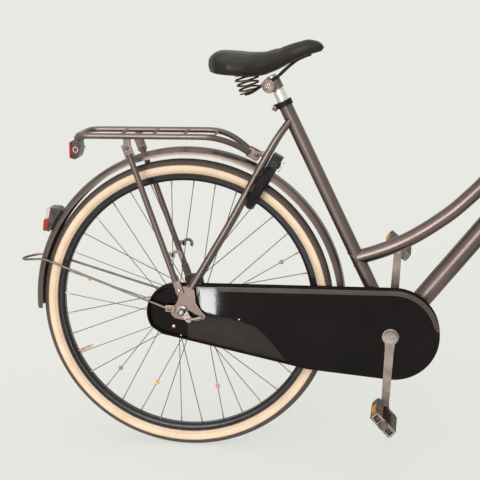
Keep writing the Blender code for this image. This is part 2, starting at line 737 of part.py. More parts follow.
def make_rim(centre):
    inner = RIM_LIP_RADIUS - RIM_DEPTH
    side = RIM_HALF_WIDTH
    well = side - RIM_WALL
    outside = [(inner, 0.0080), (inner + 0.007, side), (RIM_LIP_RADIUS, side)]
    inside = [(RIM_LIP_RADIUS, well), (RIM_LIP_RADIUS - RIM_WELL_DEPTH, RIM_WELL_HALF_WIDTH)]
    profile = outside + inside
    profile += [(r, -y) for r, y in reversed(profile)]
    return turned(profile, centre, LEFT, WHEEL_FACETS, math.pi / WHEEL_FACETS)


def spoke_set(centre, flange_radius, flange_y, first, lean_sign, shift):
    """Nine spokes that leave one flange on one face, all leaning the same way."""
    rods = []
    reach = (RIM_LIP_RADIUS - RIM_DEPTH) * math.cos(math.pi / WHEEL_FACETS) - GAP
    seat = flange_radius - 0.003
    for index in range(SPOKE_COUNT // 4):
        outer = SPOKE_PHASE + first + index * 4 * 2 * math.pi / SPOKE_COUNT
        inner = outer + lean_sign * SPOKE_LEAN
        start = centre + Vector((seat * math.cos(inner), flange_y + shift,
                                 seat * math.sin(inner)))
        end = centre + Vector((reach * math.cos(outer),
                               math.copysign(0.0032, flange_y) + shift * 1.2,
                               reach * math.sin(outer)))
        rods.append(rod(start, end, SPOKE_RADIUS * 1.2, 3))
    return rods


def merged(shapes):
    """Several loose solids as one object, ready to be fused to another."""
    bm = bmesh.new()
    for part in shapes:
        bm.from_mesh(part.data)
    for part in shapes:
        bpy.data.objects.remove(part, do_unlink=True)
    return shape_from(bm)


def laced(hub, centre, flange_radius, flange_y):
    step = 2 * math.pi / SPOKE_COUNT
    order = [(-1, 0 * step, 1, -1), (1, 1 * step, -1, -1), (-1, 2 * step, -1, 1),
             (1, 3 * step, 1, 1)]
    for side, first, lean_sign, face in order:
        y = flange_y[side]
        spokes = spoke_set(centre, flange_radius, y, first, lean_sign, SPOKE_SHIFT * face)
        hub = union(hub, merged(spokes))
    return hub


def make_rear_hub():
    right, left = REAR_FLANGE_Y[-1], REAR_FLANGE_Y[1]
    hole = (REAR_AXLE_RADIUS + GAP) / math.cos(math.pi / 18)
    half = FLANGE_THICK / 2
    profile = [(hole, right - half), (REAR_FLANGE_RADIUS, right - half),
               (REAR_FLANGE_RADIUS, right + half), (REAR_HUB_RADIUS, right + half + 0.001),
               (REAR_HUB_RADIUS, left - half - 0.001), (REAR_FLANGE_RADIUS, left - half),
               (REAR_FLANGE_RADIUS, left + half), (0.0235, left + half + 0.001),
               (0.0220, BRAKE_END), (hole, BRAKE_END)]
    hub = turned(profile, REAR_AXLE, LEFT, 18)
    return laced(hub, REAR_AXLE, REAR_FLANGE_RADIUS, REAR_FLANGE_Y)


def make_front_hub():
    hole = (FRONT_AXLE_RADIUS + GAP) / math.cos(math.pi / 14)
    flange = FRONT_FLANGE_Y
    half = FLANGE_THICK / 2
    right = [(hole, -flange - 0.010), (0.0120, -flange - 0.010), (0.0125, -flange - half),
             (FRONT_FLANGE_RADIUS, -flange - half), (FRONT_FLANGE_RADIUS, -flange + half),
             (FRONT_HUB_RADIUS, -flange + half + 0.001)]
    profile = right + [(r, -y) for r, y in reversed(right)]
    hub = turned(profile, FRONT_AXLE, LEFT, 14)
    return laced(hub, FRONT_AXLE, FRONT_FLANGE_RADIUS, {-1: -flange, 1: flange})


SLEEVE_END = -0.0545


def make_rear_sprocket():
    """The sprocket with the driver sleeve that screws into the hub."""
    hole = (REAR_AXLE_RADIUS + GAP) / math.cos(math.pi / SPROCKET_TEETH)
    start = REAR_FLANGE_Y[-1] - FLANGE_THICK / 2 - GAP
    disc = SPROCKET_PITCH_RADIUS - CHAIN_HALF_HEIGHT - 0.0006
    low, high = -CHAIN_LINE - DISC_THICK / 2, -CHAIN_LINE + DISC_THICK / 2
    return turned([(hole, start), (0.0165, start), (0.0165, high), (disc, high), (disc, low),
                   (0.0165, low), (0.0150, SLEEVE_END), (hole, SLEEVE_END)],
                  REAR_AXLE, LEFT, SPROCKET_TEETH)


def make_rear_axle():
    right = [(0.0, -REAR_AXLE_END), (REAR_AXLE_RADIUS, -REAR_AXLE_END),
             (REAR_AXLE_RADIUS, -REAR_DROPOUT_INNER + GAP),
             (AXLE_COLLAR_RADIUS, -REAR_DROPOUT_INNER + GAP),
             (AXLE_COLLAR_RADIUS, SLEEVE_END - GAP), (REAR_AXLE_RADIUS, SLEEVE_END - GAP)]
    left = [(REAR_AXLE_RADIUS, BRAKE_ARM_OUTER + GAP), (AXLE_COLLAR_RADIUS, BRAKE_ARM_OUTER + GAP),
            (AXLE_COLLAR_RADIUS, REAR_DROPOUT_INNER - GAP),
            (REAR_AXLE_RADIUS, REAR_DROPOUT_INNER - GAP), (REAR_AXLE_RADIUS, REAR_AXLE_END),
            (0.0, REAR_AXLE_END)]
    return turned(right + left, REAR_AXLE, LEFT, 10)


NUT_INNER = DROPOUT_OUTER + GAP + 0.0020 + GAP
NUT_LENGTH = 0.0262


def make_axle_nut(side):
    """A domed nut with its washer face, closed over the axle's end."""
    outward = LEFT * side
    start = REAR_AXLE + outward * NUT_INNER
    washer = turned([(0.0, 0.0), (0.0115, 0.0), (0.0115, 0.0020), (0.0070, 0.0024),
                     (0.0070, 0.0150), (0.0084, 0.0158), (0.0080, 0.0200), (0.0055, 0.0245),
                     (0.0, NUT_LENGTH)], start, outward, 12)
    flats = rod(start + outward * 0.0016, start + outward * 0.0160, 0.0100, 6)
    nut = union(washer, flats)
    return cut(nut, bore(start - outward * 0.01, REAR_AXLE + outward * (REAR_AXLE_END + GAP),
                         REAR_AXLE_RADIUS, 12))


def make_chain_tensioner(side):
    """An eye on the axle with a screw that draws it along the drop-out."""
    y = side * (DROPOUT_OUTER + GAP + 0.0010)
    tail = Vector((0.014, 0.0, 0.3290))
    angle = math.degrees(math.atan2(tail.z - REAR_AXLE.z, tail.x - REAR_AXLE.x))
    outline = arc(REAR_AXLE, 0.0105, angle + 90.0, angle + 270.0, 8)
    outline += arc(tail, 0.0070, angle - 90.0, angle + 90.0, 6)
    eye = plate(outline, y, 0.0020)
    screw_y = side * (DROPOUT_OUTER + 0.0036)
    screw = rod((0.008, screw_y, 0.3275), (0.046, screw_y, 0.3370), 0.0026, 6)
    head = rod((0.040, screw_y, 0.3355), (0.0445, screw_y, 0.33665), 0.0032, 6)
    made = union(eye, screw, head)
    return cut(made, across_bore(REAR_AXLE, side * 0.05, side * 0.09, REAR_AXLE_RADIUS, 12))


BRAKE_ARM_INNER = 0.0535
BRAKE_ARM_OUTER = 0.0565


def make_brake_arm():
    """Holds the coaster brake against turning; its strap grips the left chain stay."""
    y = (BRAKE_ARM_INNER + BRAKE_ARM_OUTER) / 2
    end = Vector((0.150, 0.0, 0.3080))
    outline = arc(REAR_AXLE, 0.021, 60.0, 245.0, 10)
    outline += [(0.0, 0.3240), (end.x - 0.002, end.z - 0.006), (end.x + 0.006, end.z),
                (end.x + 0.004, end.z + 0.008), (0.052, 0.3300)]
    arm = plate(outline, y, BRAKE_ARM_OUTER - BRAKE_ARM_INNER)
    washer = across(REAR_AXLE, BRAKE_END + GAP * 2, BRAKE_ARM_OUTER, 0.0165, 12)
    high, low = Vector(CHAIN_STAY_PATH[1]), Vector(CHAIN_STAY_PATH[2])
    along = (high - low).normalized()
    grip = low + along * ((0.150 - low.x) / along.x)
    strap = ring(CHAIN_STAY_RADIUS, CHAIN_STAY_RADIUS + 0.0022, -0.005, 0.005, grip, along, 12)
    lug = box((grip.x - 0.004, grip.y - 0.001, end.z - 0.002),
              (grip.x + 0.004, BRAKE_ARM_OUTER - 0.0004, grip.z - CHAIN_STAY_RADIUS - 0.0010))
    made = union(arm, washer, strap, lug)
    return cut(made, across_bore(REAR_AXLE, 0.03, 0.07, REAR_AXLE_RADIUS, 12))


# Drive

def make_crank_spindle():
    end = ARM_INNER + ARM_THICK + GAP
    right = [(0.0, -end - 0.0025), (0.0100, -end - 0.0025), (0.0100, -end),
             (SPINDLE_RADIUS, -end)]
    return turned(right + [(r, -y) for r, y in reversed(right)], BOTTOM_BRACKET, LEFT, 16)


def make_crank_arm(side):
    pedal = PEDAL_AXES[side]
    down = CRANK_DOWN * -side
    angle = math.degrees(math.atan2(down.z, down.x))
    neck = BOTTOM_BRACKET + down * 0.030
    wide, narrow = 0.0105, 0.0092
    square = Vector((-down.z, 0.0, down.x))
    outline = arc(BOTTOM_BRACKET, ARM_BOSS_RADIUS, angle + 50.0, angle + 310.0, 12)
    outline += [(neck.x - square.x * wide, neck.z - square.z * wide)]
    outline += [((pedal - down * 0.012 - square * narrow).x,
                 (pedal - down * 0.012 - square * narrow).z)]
    outline += arc(pedal, ARM_EYE_RADIUS, angle - 60.0, angle + 60.0, 6)
    outline += [((pedal - down * 0.012 + square * narrow).x,
                 (pedal - down * 0.012 + square * narrow).z)]
    outline += [(neck.x + square.x * wide, neck.z + square.z * wide)]
    y = side * (ARM_INNER + ARM_THICK / 2)
    arm = plate(outline, y, ARM_THICK)
    if side < 0:
        boss_start, boss_radius = CHAIN_LINE + DISC_THICK / 2 + GAP, CHAINRING_BOSS_RADIUS
    else:
        boss_start, boss_radius = SHELL_HALF_WIDTH + 0.004, ARM_BOSS_RADIUS - 0.0008
    boss = across(BOTTOM_BRACKET, side * boss_start, side * (ARM_INNER + 0.001), boss_radius, 16)
    made = union(arm, boss)
    return cut(made,
               across_bore(BOTTOM_BRACKET, side * 0.02, side * 0.12, SPINDLE_RADIUS, 16),
               across_bore(pedal, side * 0.05, side * 0.12, PEDAL_SPINDLE_RADIUS, 10))


def make_chainring():
    radius = CHAINRING_PITCH_RADIUS - CHAIN_HALF_HEIGHT - 0.0006
    holes = [circle(BOTTOM_BRACKET, (SPINDLE_RADIUS + GAP) / math.cos(math.pi / 16), 16)]
    for index in range(5):
        angle = 2 * math.pi * index / 5
        middle = BOTTOM_BRACKET + Vector((math.cos(angle), 0.0, math.sin(angle))) * 0.050
        holes.append(circle(middle, 0.018, 8))
    outline = circle(BOTTOM_BRACKET, radius, 30)
    return plate(outline, -CHAIN_LINE, DISC_THICK, holes)


def belt(offset):
    """The chain's loop in the side view, its pitch line moved outwards by an offset."""
    small, large = SPROCKET_PITCH_RADIUS + offset, CHAINRING_PITCH_RADIUS + offset
    span = BOTTOM_BRACKET - REAR_AXLE
    heading = math.degrees(math.atan2(span.z, span.x))
    lean = math.degrees(math.asin((large - small) / span.length))
    front = arc(BOTTOM_BRACKET, large, heading - 90.0 - lean, heading + 90.0 + lean, 20)
    back = arc(REAR_AXLE, small, heading + 90.0 + lean, heading + 270.0 - lean, 12)
    return front + back


def make_chain():
    outer, inner = belt(CHAIN_HALF_HEIGHT), belt(-CHAIN_HALF_HEIGHT)
    return plate(outer, -CHAIN_LINE, 2 * CHAIN_HALF_WIDTH, [inner])


def make_pedal_spindle(side):
    start = ARM_INNER + 0.0005
    shoulder = ARM_INNER + ARM_THICK + GAP
    profile = [(0.0, start), (PEDAL_SPINDLE_RADIUS, start), (PEDAL_SPINDLE_RADIUS, shoulder),
               (0.0090, shoulder), (0.0090, PEDAL_INNER - GAP),
               (PEDAL_SPINDLE_RADIUS, PEDAL_INNER - GAP),
               (PEDAL_SPINDLE_RADIUS - 0.001, PEDAL_INNER + PEDAL_WIDTH - 0.010),
               (0.0, PEDAL_INNER + PEDAL_WIDTH - 0.010)]
    return turned(profile, PEDAL_AXES[side], LEFT * side, 10)


def make_pedal(side):
    centre = PEDAL_AXES[side]
    tilt = -PEDAL_TILT[side]
    inner, outer = PEDAL_INNER, PEDAL_INNER + PEDAL_WIDTH
    half = PEDAL_LENGTH / 2
    thick = PEDAL_THICK / 2

    def block(u0, u1, y0, y1, w):
        low = Vector((centre.x + u0, min(side * y0, side * y1), centre.z - w))
        high = Vector((centre.x + u1, max(side * y0, side * y1), centre.z + w))
        return box(low, high, tilt, centre)

    parts = []
    for end in (-1, 1):
        u0, u1 = sorted((end * 0.0145, end * half))
        parts.append(block(u0, u1, inner + 0.002, outer - 0.004, thick))
        u0, u1 = sorted((end * (half - 0.001), end * (half + 0.0015)))
        parts.append(block(u0, u1, inner + 0.030, outer - 0.014, thick * 0.55))
    for y0, y1 in ((inner, inner + 0.005), (outer - 0.006, outer - 0.001)):
        parts.append(block(-half + 0.0015, half - 0.0015, y0, y1, thick * 0.85))
    barrel = across(centre, side * (inner + 0.0002), side * outer, PEDAL_BARREL_RADIUS, 12)
    made = union(barrel, *parts)
    return cut(made, across_bore(centre, side * (inner - 0.01), side * (outer - 0.0085),
                                 PEDAL_SPINDLE_RADIUS, 10))


# Chain case

def case_outline(inset, steps=13):
    """The case in the side view, drawn in by an inset."""
    front = arc(CASE_CENTRE, CASE_RADIUS - inset, -95.0, 91.0, steps)
    back = arc(CASE_REAR_CENTRE, CASE_REAR_RADIUS - inset, 90.0, 213.0, 9)
    dip = math.tan(math.radians(5.0))
    slope = math.tan(CASE_SLOPE)
    slope_z = CASE_SLOPE_POINT.z + inset / math.cos(CASE_SLOPE)
    touch_x, touch_z = front[0]
    # Where the sloping underside meets the flatter run under the crank
    knee_x = ((slope_z + CASE_SLOPE_POINT.x * slope) - (touch_z + touch_x * dip)) / (slope - dip)
    tail_x = -0.050 + inset
    return front + back + [(tail_x, slope_z + (CASE_SLOPE_POINT.x - tail_x) * slope),
                           (knee_x, touch_z + (touch_x - knee_x) * dip)]


# The seam between the cover and the rear cap, from top to bottom
CASE_SEAM = [(0.043, 0.430), (0.0425, 0.4080), (0.0375, 0.3955), (0.0325, 0.3785),
             (0.0505, 0.3495), (0.0600, 0.3390), (0.1090, 0.3370), (0.1400, 0.3290),
             (0.1700, 0.3195), (0.1900, 0.3050), (0.2108, 0.2820), (0.2336, 0.2538),
             (0.2470, 0.2370), (0.2580, 0.2200)]
SEAM_GAP = 0.0006


def behind_seam(shift):
    """The region behind the seam, moved forwards by a shift."""
    return [(x + shift, z) for x, z in CASE_SEAM] + [(-0.2, 0.200), (-0.2, 0.500)]


def ahead_of_seam(line, distance):
    """A line moved off to its front side by a distance."""
    moved = []
    for index, (x, z) in enumerate(line):
        x0, z0 = line[max(index - 1, 0)]
        x1, z1 = line[min(index + 1, len(line) - 1)]
        length = math.hypot(x1 - x0, z1 - z0)
        moved.append((x - distance * (z1 - z0) / length, z + distance * (x1 - x0) / length))
    return moved


def round_chain_stay():
    return tube(on_side(CHAIN_STAY_PATH, -1), CHAIN_STAY_RADIUS + 0.0018, sides=8)


def make_chain_case_back():
    """The inner panel with the walls; the rear cap has the walls behind the seam."""
    wall_end = CASE_OUTER_Y + CASE_WALL + GAP
    depth = CASE_INNER_Y - wall_end
    floor = CASE_INNER_Y - CASE_WALL
    solid = plate(case_outline(0.0), CASE_INNER_Y - depth / 2, depth)
    hollow = plate(case_outline(0.0025), floor - 0.030, 0.060)
    rear = plate(behind_seam(0.0), floor - 0.0302, 0.060)
    # The chain stay runs into the case through a slot
    (x0, _, z0), (x1, _, z1) = CHAIN_STAY_PATH[1:]
    slope = (z1 - z0) / (x1 - x0)
    half = CHAIN_STAY_RADIUS + 0.002
    slot = plate([(0.165, z0 + (0.165 - x0) * slope - half), (0.478, z0 - half - 0.004),
                  (0.478, z0 + half - 0.004), (0.165, z0 + (0.165 - x0) * slope + half)],
                 CASE_INNER_Y, 0.012)
    return cut(solid, hollow, rear, slot,
               across(BOTTOM_BRACKET, -0.02, -0.05, SHELL_RADIUS + 0.002, 16),
               across(REAR_AXLE, -0.02, -0.05, 0.040, 16))


def make_chain_case_cover():
    """The outer panel, with a lip turned in along the seam."""
    panel = plate(case_outline(0.0012), CASE_OUTER_Y + CASE_WALL / 2, CASE_WALL)
    panel = cut(panel, plate(behind_seam(SEAM_GAP), CASE_OUTER_Y, 0.020),
                across(BOTTOM_BRACKET, -0.05, -0.09, CHAINRING_BOSS_RADIUS + 0.0015, 20))
    seam = CASE_SEAM[1:-1]
    strip = ahead_of_seam(seam, 0.0010) + list(reversed(ahead_of_seam(seam, 0.0024)))
    outer = CASE_OUTER_Y + CASE_WALL / 2
    lip = plate(strip, (outer + CASE_LIP_Y) / 2, CASE_LIP_Y - outer)
    return union(panel, lip)


def make_chain_case_band():
    """The band clipped along the upper and front edge of the cover."""
    outside = arc(CASE_CENTRE, CASE_RADIUS + 0.0006, 7.0, 91.0, 12)
    inside = arc(CASE_CENTRE, CASE_RADIUS - CASE_BAND_WIDTH, 91.0, 15.0, 12)
    inside.append(arc(CASE_CENTRE, CASE_RADIUS - CASE_BAND_WIDTH * 0.5, 7.0, 7.0, 1)[0])
    rear_top = CASE_REAR_CENTRE.z + CASE_REAR_RADIUS
    start = 0.083
    outline = outside + [(start, rear_top + 0.0006), (start, rear_top - CASE_BAND_WIDTH)] + inside
    return plate(outline, CASE_OUTER_Y - GAP - CASE_BAND_THICK / 2, CASE_BAND_THICK)


def make_chain_case_rear_cap():
    """The lid behind the seam, which comes off to take the wheel out."""
    inner = CASE_INNER_Y - CASE_WALL - GAP
    depth = inner - CASE_CAP_Y
    solid = plate(case_outline(0.0), inner - depth / 2, depth)
    hollow = plate(case_outline(0.0022), CASE_CAP_Y + CASE_WALL + 0.030, 0.060)
    ahead = [(x - SEAM_GAP, z) for x, z in CASE_SEAM] + [(0.8, 0.150), (0.8, 0.500)]
    return cut(solid, hollow, plate(ahead, inner - depth / 2, depth + 0.02), round_chain_stay(),
               across(REAR_AXLE, -0.03, -0.07, 0.0185, 16))


# Mudguards

def guard_shell(centre, start, end, steps):
    """A U-shaped strip swept about an axle, with its open side inwards."""
    section = [(GUARD_RADIUS - GUARD_DEPTH, -GUARD_HALF_WIDTH),
               (GUARD_RADIUS - GUARD_SHOULDER, GUARD_LEAN_IN - GUARD_HALF_WIDTH),
               (GUARD_RADIUS, 0.0),
               (GUARD_RADIUS - GUARD_SHOULDER, GUARD_HALF_WIDTH - GUARD_LEAN_IN),
               (GUARD_RADIUS - GUARD_DEPTH, GUARD_HALF_WIDTH)]
    mesh = bpy.data.meshes.new("section")
    mesh.from_pydata([(radius, 0.0, along) for radius, along in section],
                     [(index, index + 1) for index in range(len(section) - 1)], [])
    strip = shape(mesh)
    sweep = strip.modifiers.new("Screw", "SCREW")
    sweep.steps = steps
    sweep.render_steps = steps
    sweep.angle = math.radians(end - start)
    wall = strip.modifiers.new("Solidify", "SOLIDIFY")
    wall.thickness = GUARD_WALL
    wall.offset = 1.0
    # Local Z becomes -Y, so that the sweep runs from +X towards +Z
    strip.matrix_world = (Matrix.Translation(centre) @ Matrix.Rotation(math.pi / 2, 4, "X")
                          @ Matrix.Rotation(math.radians(start), 4, "Z"))
    return baked(strip, weld=0.00001)


def on_guard(centre, angle, radius, y):
    return Vector((centre.x + radius * math.cos(math.radians(angle)), y,
                   centre.z + radius * math.sin(math.radians(angle))))


def wire_past_guard(centre, clamp, clamp_y, lip):
    """The wire's distance from the middle at the lip, so that it just clears the shell's edge."""
    start = (clamp - centre).length
    edge = GUARD_RADIUS - GUARD_DEPTH
    edge_y = GUARD_HALF_WIDTH + GUARD_WIRE_RADIUS + GAP
    return clamp_y + (edge_y - clamp_y) * ((lip - centre).length - start) / (edge - start)


def make_rear_guard_stay():
    """A wire from one drop-out past the mudguard, round behind it and back."""
    clamp = Vector((-0.0370, 0.0, 0.3555))
    lip = Vector((-0.345, 0.0, 0.4570))
    rear = Vector((-0.404, 0.0, 0.4505))
    y0 = -(DROPOUT_OUTER + GAP + 0.0030)
    y = wire_past_guard(GUARD_CENTRE, clamp, -y0, lip)
    half = [(clamp.x, y0, clamp.z), (lip.x, -y, lip.z), (-0.373, -y, 0.4550),
            (-0.392, -0.0220, 0.4520), (-0.402, -0.0100, 0.4507)]
    points = half + [(rear.x, 0.0, rear.z)] + [(x, -y, z) for x, y, z in reversed(half)]
    wire = tube(points, GUARD_WIRE_RADIUS, sides=6)
    eyes = []
    for side in SIDES:
        low, high = sorted((side * (DROPOUT_OUTER + GAP), side * (DROPOUT_OUTER + 0.0050)))
        eyes.append(box((clamp.x - 0.004, low, clamp.z - 0.009),
                        (-0.0180, high, clamp.z + 0.008)))
    return union(wire, *eyes)


FRONT_STAY_ANGLE = 188.0


def make_front_guard_stay():
    """A wire from one fork end over the mudguard's crown to the other."""
    y0 = -(FRONT_DROPOUT_INNER + FRONT_DROPOUT_THICK + GAP + GUARD_WIRE_RADIUS)
    start = FRONT_AXLE + Vector((-0.0094, 0.0, -0.0013))
    crown = GUARD_RADIUS + GUARD_WIRE_RADIUS + GAP
    edge = on_guard(FRONT_AXLE, FRONT_STAY_ANGLE, GUARD_RADIUS - 0.012, 0.0)
    wire_y = wire_past_guard(FRONT_AXLE, start, -y0, edge)
    lip = shifted(edge, -wire_y)
    shoulder = on_guard(FRONT_AXLE, FRONT_STAY_ANGLE, GUARD_RADIUS - 0.001, 0.002 - wire_y)
    top = on_guard(FRONT_AXLE, FRONT_STAY_ANGLE, crown + 0.001, -0.0140)
    half = [(start.x, y0, start.z), tuple(lip), tuple(shoulder), tuple(top)]
    points = half + [(x, -y, z) for x, y, z in reversed(half)]
    wire = tube(points, GUARD_WIRE_RADIUS, sides=6)
    eyes = []
    low = FRONT_DROPOUT_INNER + FRONT_DROPOUT_THICK + GAP
    for side in SIDES:
        eyes.append(ring(FRONT_AXLE_RADIUS, 0.0112, low, low + 0.0024, FRONT_AXLE,
                         LEFT * side, 10))
    return union(wire, *eyes)


# Carrier

LEG_Y = 0.0700
TAB_OUTER = 0.0660


def make_carrier_deck():
    half = [(0.150, -0.0180, 0.7220), (0.133, -0.0275, 0.7345), (0.106, -0.0470, 0.7500),
            (0.076, -0.0610, 0.7600), (0.050, -DECK_HALF_WIDTH, DECK_HEIGHT),
            (-0.218, -DECK_HALF_WIDTH, DECK_HEIGHT - 0.0025),
            (-0.241, -0.0600, 0.7590), (-0.256, -0.0450, 0.7580), (-0.2625, -0.0250, 0.7575)]
    points = half + [(x, -y, z) for x, y, z in reversed(half)]
    loop = tube(points, DECK_TUBE_RADIUS, sides=8)
    parts = []
    for index in range(DECK_ROD_COUNT):
        x = DECK_ROD_FIRST_X + index * DECK_ROD_PITCH
        width = DECK_HALF_WIDTH if x < 0.06 else DECK_HALF_WIDTH - 0.0040
        height = DECK_HEIGHT if x < 0.06 else 0.7605
        parts.append(rod((x, -width, height), (x, width, height), DECK_ROD_RADIUS, 6))
    for side in SIDES:
        low, high = sorted((side * (TAB_OUTER - 0.003), side * TAB_OUTER))
        parts.append(box((LEG_TOP.x - 0.009, low, LEG_TOP.z - 0.009),
                         (LEG_TOP.x + 0.009, high, DECK_HEIGHT - 0.003)))
        low, high = sorted((side * (CARRIER_TAB_HALF_WIDTH + GAP), side * 0.0145))
        parts.append(box((0.147, low, 0.7065), (0.176, high, 0.7265)))
    return union(loop, *parts)


def make_carrier_leg(side):
    """A tube with flattened ends, screwed under the deck and to the drop-out."""
    along = (LEG_TOP - LEG_FOOT).normalized()
    y = side * LEG_Y
    top = shifted(LEG_TOP - along * 0.012, y)
    low = shifted(LEG_FOOT + along * 0.020, y)
    bar = rod(low, top, LEG_RADIUS, 8)
    foot_y = sorted((side * (DROPOUT_OUTER + GAP), side * (DROPOUT_OUTER + 0.0038)))
    head_y = sorted((side * (TAB_OUTER + GAP), side * (TAB_OUTER + 0.0033)))
    swing = math.atan2(LEG_TOP.x - LEG_FOOT.x, LEG_TOP.z - LEG_FOOT.z)
    foot = box((LEG_FOOT.x - 0.0085, foot_y[0], LEG_FOOT.z - 0.011),
               (LEG_FOOT.x + 0.0085, foot_y[1], LEG_FOOT.z + 0.034), swing, LEG_FOOT)
    head = box((LEG_TOP.x - 0.0075, head_y[0], LEG_TOP.z - 0.024),
               (LEG_TOP.x + 0.0075, head_y[1], LEG_TOP.z + 0.008), swing, LEG_TOP)
    bolts = [across(LEG_FOOT, side * (DROPOUT_OUTER + 0.002), side * (DROPOUT_OUTER + 0.0075),
                    0.0050, 8),
             across(LEG_TOP, side * (TAB_OUTER + 0.002), side * (TAB_OUTER + 0.0065), 0.0045, 8)]
    # The strap hook: an open ring on a short neck, ahead of the leg
    hook_z = 0.484
    on_leg = LEG_FOOT + along * ((hook_z - LEG_FOOT.z) / along.z)
    eye = on_leg + Vector((0.0270, 0.0, 0.0))
    outline = arc(eye, 0.0125, 215.0, -60.0, 12) + arc(eye, 0.0075, -60.0, 215.0, 10)
    hook = plate(outline, y, 0.0030)
    neck = box((on_leg.x, y - 0.0015, hook_z - 0.004), (eye.x - 0.0085, y + 0.0015, hook_z + 0.007))
    return union(bar, foot, head, *bolts, hook, neck)


CARRIER_LAMP_HALF_WIDTH = 0.0250


def make_carrier_lamp_housing():
    outline = [(-0.2700, 0.6985), (-0.2610, 0.6980), (-0.2555, 0.7035), (-0.2520, 0.7130),
               (-0.2515, 0.7300), (-0.2535, 0.7430), (-0.2650, 0.7445), (-0.2700, 0.7405)]
    body = plate(outline, 0.0, 2 * CARRIER_LAMP_HALF_WIDTH)
    tab_top = 0.7575 - DECK_TUBE_RADIUS - GAP
    tab = box((-0.2665, -0.011, 0.7410), (-0.2545, 0.011, tab_top))
    bolt = rod((-0.2530, 0.0, 0.7245), (-0.2425, 0.0, 0.7245), 0.0035, 8)
    return union(body, tab, bolt)


def make_carrier_lamp_lens():
    half = CARRIER_LAMP_HALF_WIDTH - 0.001
    lens = box((-0.2765, -half, 0.6995), (-0.2700 - GAP, half, 0.7400))
    edge = lens.modifiers.new("Bevel", "BEVEL")
    edge.width = 0.003
    edge.segments = 1
    return baked(lens)


def make_guard_lamp_housing():
    face = [(-0.3375, 0.5230), (-0.3235, 0.5800)]
    crown = [on_guard(GUARD_CENTRE, angle, GUARD_RADIUS + 0.0006, 0.0)
             for angle in (145.0, 148.0, 151.0, 153.8)]
    outline = face + [(-0.3090, 0.5790)] + [(point.x, point.z) for point in crown]
    return plate(outline, 0.0, 0.044)


def make_guard_lamp_lens():
    outline = [(-0.3475, 0.5235), (-0.3450, 0.5490), (-0.3375, 0.5590), (-0.3355, 0.5775),
               (-0.3290, 0.5805), (-0.3240, 0.5800), (-0.3380, 0.5230)]
    return plate(outline, 0.0, 0.042)


# Ring lock

def lock_place():
    """Turns a plate's side view into the lock's plane: x runs to the left, z outwards."""
    turn = Matrix((LEFT, -LOCK_NORMAL, LOCK_OUT)).transposed().to_4x4()
    return Matrix.Translation(LOCK_CENTRE) @ turn


def in_lock(left, out, ahead=0.0):
    return LOCK_CENTRE + LEFT * left + LOCK_OUT * out + LOCK_NORMAL * ahead


def lock_arc(radius, start, end, steps):
    points = []
    for step in range(steps + 1):
        angle = math.radians(start + (end - start) * step / steps)
        points.append(in_lock(radius * math.cos(angle), radius * math.sin(angle)))
    return points


SHACKLE_TIP = -90.0 + LOCK_GAP_HALF_ANGLE + 3.0
SHACKLE_TAIL = 62.0
SHACKLE_TRAVEL = 2 * LOCK_GAP_HALF_ANGLE + 15.0
KNOB_ANGLE = 44.0
KEY_AT = (-0.015, 0.066)


def make_lock_body():
    """A horseshoe casing with the channel that the shackle slides in."""
    casing = tube(lock_arc(LOCK_RING_RADIUS, -90.0 + LOCK_GAP_HALF_ANGLE,
                           270.0 - LOCK_GAP_HALF_ANGLE, 18), LOCK_CASE_RADIUS, sides=8)
    top = plate([(-0.030, 0.046), (0.030, 0.046), (0.026, 0.083), (-0.026, 0.088)],
                0.0, 2 * LOCK_CASE_RADIUS, place=lock_place())
    boss = rod(in_lock(*KEY_AT, LOCK_CASE_RADIUS - 0.002), in_lock(*KEY_AT, 0.0118), 0.0080, 12)
    parts = [top, boss]
    # Lugs that reach back to the seat stays
    for side in SIDES:
        height = LOCK_CENTRE.z + LOCK_OUT.z * 0.020
        stay = stay_point(height, side)
        toward = (stay - in_lock(side * LOCK_RING_RADIUS * 0.90, 0.022))
        along = (Vector(SEAT_STAY_LINE[3]) - Vector(SEAT_STAY_LINE[2])).normalized()
        toward -= along * toward.dot(along)
        start = in_lock(side * LOCK_RING_RADIUS * 0.90, 0.022)
        end = start + toward.normalized() * (toward.length - SEAT_STAY_RADIUS - GAP * 2)
        parts.append(rod(start, end, 0.0055, 8))
    body = union(casing, *parts)
    bore_radius = SHACKLE_RADIUS + 0.0011
    channel = tube(lock_arc(LOCK_RING_RADIUS, -90.0 + LOCK_GAP_HALF_ANGLE - 6.0,
                            SHACKLE_TAIL + 3.0, 11), bore_radius, sides=8)
    catch = tube(lock_arc(LOCK_RING_RADIUS, 270.0 - LOCK_GAP_HALF_ANGLE + 6.0,
                          SHACKLE_TIP - SHACKLE_TRAVEL + 360.0 - 3.0, 2), bore_radius, sides=8)
    slot = arc(Vector((0.0, 0.0, 0.0)), LOCK_RING_RADIUS, KNOB_ANGLE - SHACKLE_TRAVEL - 4.0,
               KNOB_ANGLE + 4.0, 10)
    slot += arc(Vector((0.0, 0.0, 0.0)), LOCK_RING_RADIUS + 0.020, KNOB_ANGLE + 4.0,
                KNOB_ANGLE - SHACKLE_TRAVEL - 4.0, 10)
    return cut(body, channel, catch, plate(slot, 0.0, 0.0070, place=lock_place()),
               bore(in_lock(*KEY_AT, -0.002), in_lock(*KEY_AT, 0.02), 0.0036, 10))


